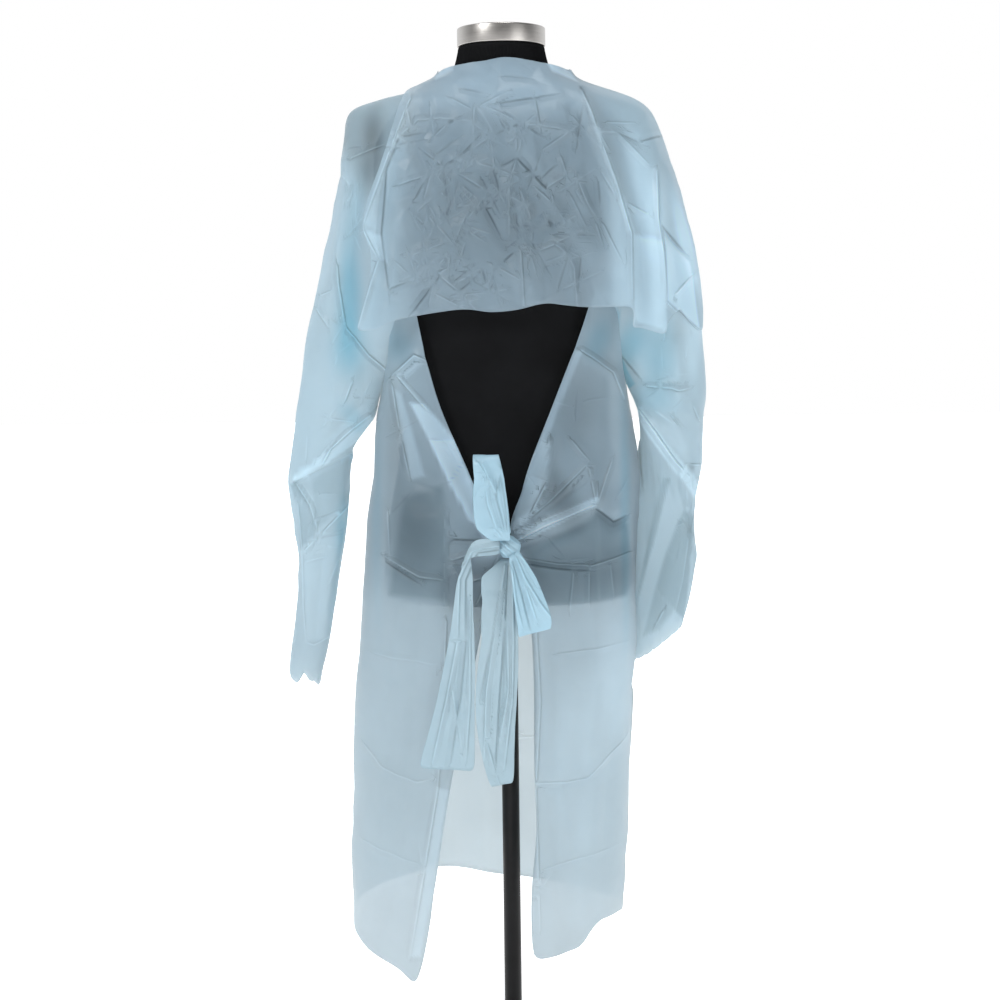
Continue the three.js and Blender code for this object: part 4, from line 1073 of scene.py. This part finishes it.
LEFT_SLEEVE_FOLDS = creases(
    (5, 16, -203, 1360, -232, 1179, -224, 1096, -230, 1035),
    (-6, 26, -186, 1351, -201, 1266, -211, 1181, -207, 1115),
    (4, 9, -221, 1228, -220, 1203, -212, 1145, -201, 1132, -181, 1106, -165, 1092, -153, 1079),
    (3, 8, -199, 1367, -156, 1382),
    (3, 8, -252, 1170, -235, 1146),
    (2.4, 7, -245, 1188, -231, 1193),
    (3.6, 12, -183, 1026, -208, 1007, -235, 983, -246, 964),
    (-4, 14, -192, 1041, -222, 1011, -252, 982),
    (-3, 12, -154, 1063, -179, 1032),
    (3, 12, -205, 1072, -215, 1046),
    (3, 8, -213, 905, -256, 863, -280, 840),
    (3, 9, -286, 934, -268, 905, -258, 870),
    (1.6, 6, -285, 906, -281, 845, -281, 781, -279, 719),
    (3, 14, -228, 857, -249, 761),
    (-3, 14, -253, 830, -264, 720),
    (1.2, 8, -246, 722, -267, 712, -279, 716),
)
LEFT_SLEEVE_DOUBLED_AND_SHADE = [
    (-183, 1026, -172, 1013, -204, 989, -212, 1003, 0.6, 3),
    (-207, 1006, -201, 991, -244, 962, -250, 971, 0.6, 3),
    (-235, 983, -237, 965, -271, 946, -273, 955, 0.6, 3),
    (-266, 958, -269, 944, -291, 938, -285, 950, 0.6, 3),
    # painted shade round the elbow's fold
    (-296, 934, -286, 936, -266, 903, -290, 917, -0.5, 3),
    (-285, 912, -268, 905, -258, 870, -283, 845, -0.35, 3),
    (-264, 939, -209, 977, -210, 914, -260, 871, -0.25, 4),
    (-283, 843, -209, 913, -235, 776, -282, 775, 0.15, 4),
    (-281, 778, -234, 777, -246, 720, -279, 716, 0.15, 4),
]
# Soft clouds of painted light, and of painted shade where the share is less than nothing.
LEFT_SLEEVE_LIGHT_AND_SHADE = [
    (-170, 1377, 16, 57, 4, -1.2),
    (-191, 1358, 14, 33, -20, -0.5),
    (-198, 1409, 35, 35, 0, -0.7),
    (-233, 1267, 14, 109, 14, 0.25),
]
# Soft clouds of painted shade, laid as deeper blue.
LEFT_SLEEVE_SHADE_DEEPS = [
    (-205, 1181, 16, 60, 4, 0.9),
    (-207, 1115, 24, 38, 0, 0.7),
    (-199, 1279, 14, 75, 10, 0.35),
    (-221, 884, 12, 41, 10, 0.6),
    (-228, 809, 10, 90, 8, 0.4),
    (-206, 1024, 27, 12, 55, 0.4),
]
RIGHT_SLEEVE_FOLDS = creases(
    (5, 18, 227, 1116, 229, 1053, 231, 1013),
    (-5, 24, 206, 1116, 206, 1049),
    (4, 9, 140, 1112, 148, 1088, 158, 1053, 173, 1023),
    (3.6, 8, 191, 1061, 221, 1058, 231, 1055, 245, 1058),
    (3.4, 9, 218, 1172, 235, 1160, 256, 1138, 263, 1136),
    (3, 9, 221, 1021, 231, 1008),
    (2.6, 8, 241, 956, 264, 953),
    (3.6, 12, 179, 1028, 199, 1000, 224, 963, 246, 938),
    (-4, 14, 192, 1027, 216, 989, 240, 959),
    (-3, 10, 155, 1102, 179, 1072),
    (3, 9, 258, 1017, 251, 1034),
    (4, 14, 217, 947, 201, 864, 187, 801, 175, 758),
    (-4, 18, 240, 899, 218, 835, 196, 769, 179, 714),
    (-1, 9, 258, 890, 250, 858, 242, 877),
    (1.6, 10, 248, 851, 240, 796, 229, 752),
    (-2.6, 9, 181, 988, 186, 920),
    (2.6, 8, 212, 752, 203, 734),
)
RIGHT_SLEEVE_DOUBLED_AND_SHADE = [
    (171, 1032, 182, 1032, 200, 1003, 192, 991, 0.6, 3),
    (190, 995, 200, 1005, 227, 969, 219, 954, 0.6, 3),
    (216, 958, 226, 971, 251, 940, 241, 928, 0.6, 3),
    (240, 930, 251, 943, 263, 921, 255, 907, 0.6, 3),
    # painted shade in bands along the sleeve
    (136, 1114, 148, 1113, 174, 1064, 160, 1051, -0.8, 3),
    (143, 1163, 153, 1163, 150, 1110, 137, 1107, -0.6, 3),
    (212, 936, 221, 936, 199, 840, 191, 840, -0.55, 3),
    (192, 843, 199, 843, 175, 754, 174, 761, -0.55, 3),
    (240, 889, 258, 883, 248, 809, 218, 832, -0.5, 4),
    (218, 833, 251, 815, 242, 738, 202, 780, -0.5, 4),
    (202, 781, 240, 741, 207, 727, 179, 692, -0.4, 4),
]
# Soft clouds of painted light.
RIGHT_SLEEVE_LIGHT_AND_SHADE = [
    (249, 1241, 16, 95, -8, 1.6),
    (251, 1115, 14, 54, 0, 0.5),
]
# Soft clouds of painted shade, laid as deeper blue.
RIGHT_SLEEVE_SHADE_DEEPS = [
    (203, 1103, 24, 54, 0, 0.6),
    (164, 1116, 19, 35, 20, 0.8),
    (192, 1043, 41, 19, 10, 0.3),
]

# Folds of the sleeves' hidden front, for the right sleeve. The left one has them mirrored, 6 mm higher.
SLEEVE_FRONT_FOLDS = creases(
    (6, 26, 206, 1390, 236, 1240),
    (6, 24, 236, 1240, 232, 1090),
    (-5, 22, 190, 1330, 206, 1150),
    (4, 12, 184, 1120, 246, 1062),
    (5, 14, 188, 1052, 262, 1010),
    (-5, 14, 200, 1000, 258, 984),
    (4, 10, 204, 968, 250, 940),
    (4, 16, 214, 920, 222, 790),
    (-4, 16, 240, 900, 236, 770),
    (3, 9, 252, 1180, 226, 1160),
    (3, 9, 178, 1240, 204, 1226),
)

# The upper arm's film hangs over the forearm behind: (outer x, outer z, inner x, inner z, fall, push).
SLEEVE_HANG = {
    "left": ((-296, 945, -206, 986, 10, 3), (-300, 923, -208, 968, -7, 0)),
    "right": ((262, 905, 185.5, 990, 9, 3), (260, 884, 184.5, 975, -5, 0)),
}


def hang_over(sleeve, rows):
    """Moves the two rows of the cage at the elbow's fold so that the upper one hangs over the lower."""
    bm = bmesh.new()
    bm.from_mesh(sleeve.data)
    crease = bm.edges.layers.float.new("crease_edge")
    for out_x, out_z, in_x, in_z, fall, push in rows:
        start = Vector((out_x, out_z)) * MM
        run = Vector((in_x, in_z)) * MM - start
        along = run.normalized()
        row = {}
        for vertex in bm.verts:
            offset = Vector((vertex.co.x, vertex.co.z)) - start
            share = offset.dot(along) / run.length
            on_row = abs(offset.cross(along)) < 4 * MM and -0.05 < share < 1.05
            if on_row and vertex.co.y < 4 * MM:
                row[vertex] = min(max(share / 0.16, 0), 1)
        for vertex, keeps in row.items():
            vertex.co.z -= fall * keeps * MM
            vertex.co.y -= push * keeps * MM
        for edge in bm.edges:
            if edge.verts[0] in row and edge.verts[1] in row:
                edge[crease] = 0.6
    bm.to_mesh(sleeve.data)
    bm.free()


# The body's armhole edge: levels and half widths, from the underarm up.
ARMHOLE_LEVELS = (1080, 1461)
ARMHOLE_HALVES = (163, 127)
TUCK = 11               # how far the sleeve's edge is laid under it
TUCK_REACH = 26


def tuck_armhole(places, out):
    """Lays the sleeve's armhole edge under the body's. out is -1 on the left and 1 on the right."""
    x, z = out * places[:, 0] / MM, places[:, 2] / MM
    edge = np.interp(z, ARMHOLE_LEVELS, ARMHOLE_HALVES)
    places = places.copy()
    places[:, 0] -= out * TUCK * MM * np.clip(1 - (x - edge) / TUCK_REACH, 0, 1)
    return places


# The left cuff's torn edge: (x, half width, rise), below the given level.
CUFF_LEVEL = 700
CUFF_NOTCHES = [(-293, 8, -6), (-282, 7, 9), (-271, 9, -3), (-263, 6, -9)]


def tear_cuff(places):
    places = places.copy()
    low = np.clip((CUFF_LEVEL - places[:, 2] / MM) / 30, 0, 1)
    for x, half, rise in CUFF_NOTCHES:
        places[:, 2] += low * rise * MM * np.clip(1 - np.abs(places[:, 0] / MM - x) / half, 0, 1)
    return places


# Where the film stands off the shoulder in a blunt corner: x, z, its move across and up, and its reach.
SHOULDER_CORNERS = {"left": (-199, 1429, -7, 4, 25), "right": (187, 1429, 6, 5, 25)}

# Where the sleeves are crushed, as far out on either side: (out, z, spread across, spread up).
SLEEVE_CRUSH_PLACES = [(205, 1300, 22, 60), (225, 1090, 20, 60), (250, 860, 12, 60)]


def make_sleeve(side, seed, folds, doubled_and_shade, light_and_shade, shade_deeps, front):
    node = "sleeve_" + side
    out = -1 if side == "left" else 1
    sleeve = outer_sheet(node, node + "_film")
    hang_over(sleeve, SLEEVE_HANG[side])
    subdivide(sleeve, 3)
    drape(sleeve, folds, front, ((seed, 70, 3.0), (seed + 1, 28, 0.7)), 1.0, 1)
    places, _ = points_of(sleeve)
    places = pull(tuck_armhole(places, out), *SHOULDER_CORNERS[side])
    move_points(sleeve, tear_cuff(places) if side == "left" else places)
    crushed = [(out * x, *rest) for x, *rest in SLEEVE_CRUSH_PLACES]
    crush = small_creases(seed, crushed, (-50, 12, 60, 84), 30, 36, 1.3)
    blue = (lambda p: 0.5 + 0.5 * across(p, 2, 0.72, 0.95)) if side == "left" else 1
    finish_sheet(sleeve, 0.35, blue, folds + crush, doubled_and_shade, light_and_shade, shade_deeps, front, behind=20)
    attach(sleeve, "root")
    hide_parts(node)


mirrored = [fold._replace(x0=-fold.x0, z0=fold.z0 + 6, x1=-fold.x1, z1=fold.z1 + 6)
            for fold in SLEEVE_FRONT_FOLDS]
make_sleeve("left", 31, LEFT_SLEEVE_FOLDS, LEFT_SLEEVE_DOUBLED_AND_SHADE, LEFT_SLEEVE_LIGHT_AND_SHADE, LEFT_SLEEVE_SHADE_DEEPS,
            mirrored)
make_sleeve("right", 41, RIGHT_SLEEVE_FOLDS, RIGHT_SLEEVE_DOUBLED_AND_SHADE, RIGHT_SLEEVE_LIGHT_AND_SHADE,
            RIGHT_SLEEVE_SHADE_DEEPS, SLEEVE_FRONT_FOLDS)

# ---- waist ties ----------------------------------------------------------------------------------

# Flat width and length of each strap.
TIES = {
    "tie_loop_upper": (0.030, 0.235),
    "tie_loop_lower": (0.036, 0.24),
    "tie_tail_left": (0.042, 0.34),
    "tie_tail_middle": (0.048, 0.305),
}

# Lengthwise pleats of each strap.
TIE_FOLDS = {
    "tie_loop_upper": creases(
        (2, 6, -32, 968, -15, 932),
        (-2, 6, -6, 969, -15, 925, -3, 878),
        (1.8, 6, -16, 883, 1, 878),
        (2, 6, -30, 950, -25, 915, -10, 872),
        (1.6, 5, -37, 970, -27, 955, -30, 932),
        (-1.6, 6, -9, 960, -4, 921, 0, 874),
    ),
    "tie_loop_lower": creases(
        (2.2, 6, 10, 847, 21, 822, 40, 790, 54, 771),
        (-2, 6, 6, 842, 17, 803, 28, 754),
        (2, 6, 23, 806, 36, 764),
        (1.8, 5, 15, 850, 28, 835, 40, 815),
        (1.6, 6, 5, 832, 9, 793, 17, 757),
    ),
    "tie_tail_left": creases(
        (2, 6, -10, 861, -36, 858, -47, 854, -63, 821, -67, 742),
        (-2, 6, -10, 856, -39, 853, -54, 818, -56, 739),
        (2, 6, -67, 739, -83, 660, -103, 575),
        (-1.8, 6, -56, 739, -65, 660, -79, 575),
        (1.8, 6, -50, 791, -52, 659, -59, 575),
        (1.6, 5, -75, 673, -64, 593),
    ),
    "tie_tail_middle": creases(
        (2, 6, -4, 834, -14, 777, -31, 671, -35, 578),
        (-2, 7, 0, 834, -4, 763, -13, 658, -20, 557),
        (2, 6, 5, 822, 6, 737, 3, 658, -9, 565),
        (-1.6, 6, -11, 803, -25, 724, -39, 658),
        (1.8, 6, -3, 763, -2, 671, -14, 605),
        (1.6, 5, -32, 605, -15, 545),
    ),
}

# Where a strap spreads: the x that stays, and widths as (height, share of its width there).
TIE_SPREADS = {
    "tie_loop_upper": (12, ((860, 1.3), (885, 1.75), (915, 1.45), (950, 1.15), (985, 1.05))),
    "tie_tail_left": (-82, ((540, 1.25), (600, 1.1), (660, 1.0), (860, 1.0))),
    "tie_tail_middle": (8, ((560, 1.0), (740, 1.05), (790, 1.35), (822, 1.9), (842, 1.3))),
}


# The left tail rises where it leaves the knot: x, z, its move across and up, and its reach.
TAIL_SHOULDER = (-46, 855, -7, 9, 23)


def make_tie(node, seed):
    tie = outer_sheet(node, node + "_film")
    subdivide(tie, 3)
    folds = TIE_FOLDS[node]
    places, normals = points_of(tie)
    lift = Crumple(seed, 0.014, 1.0 * MM).lift(places, normals)
    lift -= np.sign(normals[:, 1]) * fold_lift(folds, places[:, 0], places[:, 2])
    places = places + normals * lift[:, None]
    places = soften(tie, places, 1, 0.3)
    if node == "tie_tail_left":
        places = pull(places, *TAIL_SHOULDER)
    if node in TIE_SPREADS:
        still, widths = TIE_SPREADS[node]
        share = np.interp(places[:, 2] / MM, *zip(*widths))
        places[:, 0] = still * MM + (places[:, 0] - still * MM) * share
    move_points(tie, places)
    blue = 1 if "loop" in node else 0.35
    finish_sheet(tie, 0.5, blue, folds, front=folds, material=TIE_FILM)
    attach(tie, "root")
    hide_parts(node)


for number, (node, flat) in enumerate(TIES.items()):
    make_tie(node, 51 + number)


# Edges of the film where it winds round the knot, only in its finish: a bumped ridge with a painted
# highlight on it and painted shade on its steep side.
KNOT_WRAPS = creases(
    (2.6, 6, -11, 867, 9, 851),
    (2.2, 6, -3, 874, 13, 863),
    (2.2, 6, -13, 857, 1, 845),
)


def make_knot():
    knot = merged_copy("tie_knot", "tie_knot_film", 0.9, 1.4)
    subdivide(knot, 3)
    places, normals = points_of(knot)
    lift = Crumple(61, 0.006, 0.5 * MM).lift(places, normals)
    move_points(knot, places + normals * lift[:, None])
    shade_smooth(knot)
    places, _ = points_of(knot)
    aside, raised = nearest_crease(KNOT_WRAPS, places[:, 0], places[:, 2])
    even = np.ones(len(places))
    looks = {"crumple": 0.4 * even, "veil": even, "blue": even, "crease": aside, "crease_lift": raised}
    paint(knot, looks, TIE_FILM)
    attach(knot, "root")
    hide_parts("tie_knot")


make_knot()

# ---- floor, world and lights ---------------------------------------------------------------------

# The world's light from the camera's side, and from beyond the gown.
WORLD_FRONT, WORLD_BACK = 0.1, 1.15


def make_floor():
    bpy.ops.mesh.primitive_plane_add(size=40, location=(0, 0, -0.0005))
    floor = bpy.context.object
    floor.name = "studio_floor"
    f = Finish("pale_floor")
    tint = f.blend(f.spread(f.noise(3, 3), 0, 1), (0.9, 0.9, 0.9, 1), (0.94, 0.94, 0.94, 1))
    # painted light: the floor glows, at a quarter strength round the stand and in full from 1.3 m out
    away = f.add("VectorMath", {0: f.place}, operation="LENGTH").outputs["Value"]
    lit = f.spread(away, 0.25, 1.0, start=0.3, end=1.3)
    flat = f.add("BsdfPrincipled", {"Base Color": tint, "Roughness": 0.9, "Emission Strength": lit,
                                    "Emission Color": (1, 1, 1, 1)})
    floor.data.materials.append(f.end(flat.outputs[0]))


def make_world():
    """White all round to the eye; as a light, bright behind the gown and dim on the camera's side."""
    world = bpy.data.worlds.new("studio")
    scene.world = world
    world.use_nodes = True
    tree = world.node_tree
    tree.nodes.clear()

    def add(kind, **inputs):
        made = tree.nodes.new("ShaderNode" + kind)
        for name, value in inputs.items():
            made.inputs[name.replace("_", " ")].default_value = value
        return made

    path = add("LightPath")
    seen = add("Background", Color=(1, 1, 1, 1), Strength=1.0)
    lit = add("Background", Color=(0.97, 0.985, 1, 1))
    split = add("SeparateXYZ")
    level = add("MapRange", From_Min=-0.15, From_Max=0.6, To_Min=WORLD_FRONT, To_Max=WORLD_BACK)
    pick = add("MixShader")
    output = add("OutputWorld")
    tree.links.new(add("TexCoord").outputs["Generated"], split.inputs[0])
    tree.links.new(split.outputs["Y"], level.inputs["Value"])
    tree.links.new(level.outputs["Result"], lit.inputs["Strength"])
    tree.links.new(path.outputs["Is Camera Ray"], pick.inputs[0])
    tree.links.new(lit.outputs[0], pick.inputs[1])
    tree.links.new(seen.outputs[0], pick.inputs[2])
    tree.links.new(pick.outputs[0], output.inputs[0])


def make_light(name, place, aim, size, power):
    data = bpy.data.lights.new(name, "AREA")
    data.shape = "RECTANGLE"
    data.size, data.size_y = size
    data.energy = power
    light = bpy.data.objects.new(name, data)
    scene.collection.objects.link(light)
    light.location = place
    light.rotation_euler = (Vector(aim) - Vector(place)).to_track_quat("-Z", "Y").to_euler()


make_floor()
make_world()
make_light("key_light", (-2.0, -1.8, 2.9), (0, 0, 1.0), (0.7, 0.9), 50)
make_light("top_light", (0.2, -0.9, 3.2), (0, -0.1, 1.2), (0.8, 0.8), 16)
make_light("fill_light", (2.3, -2.4, 1.2), (0, 0, 0.9), (1.6, 2.0), 18)
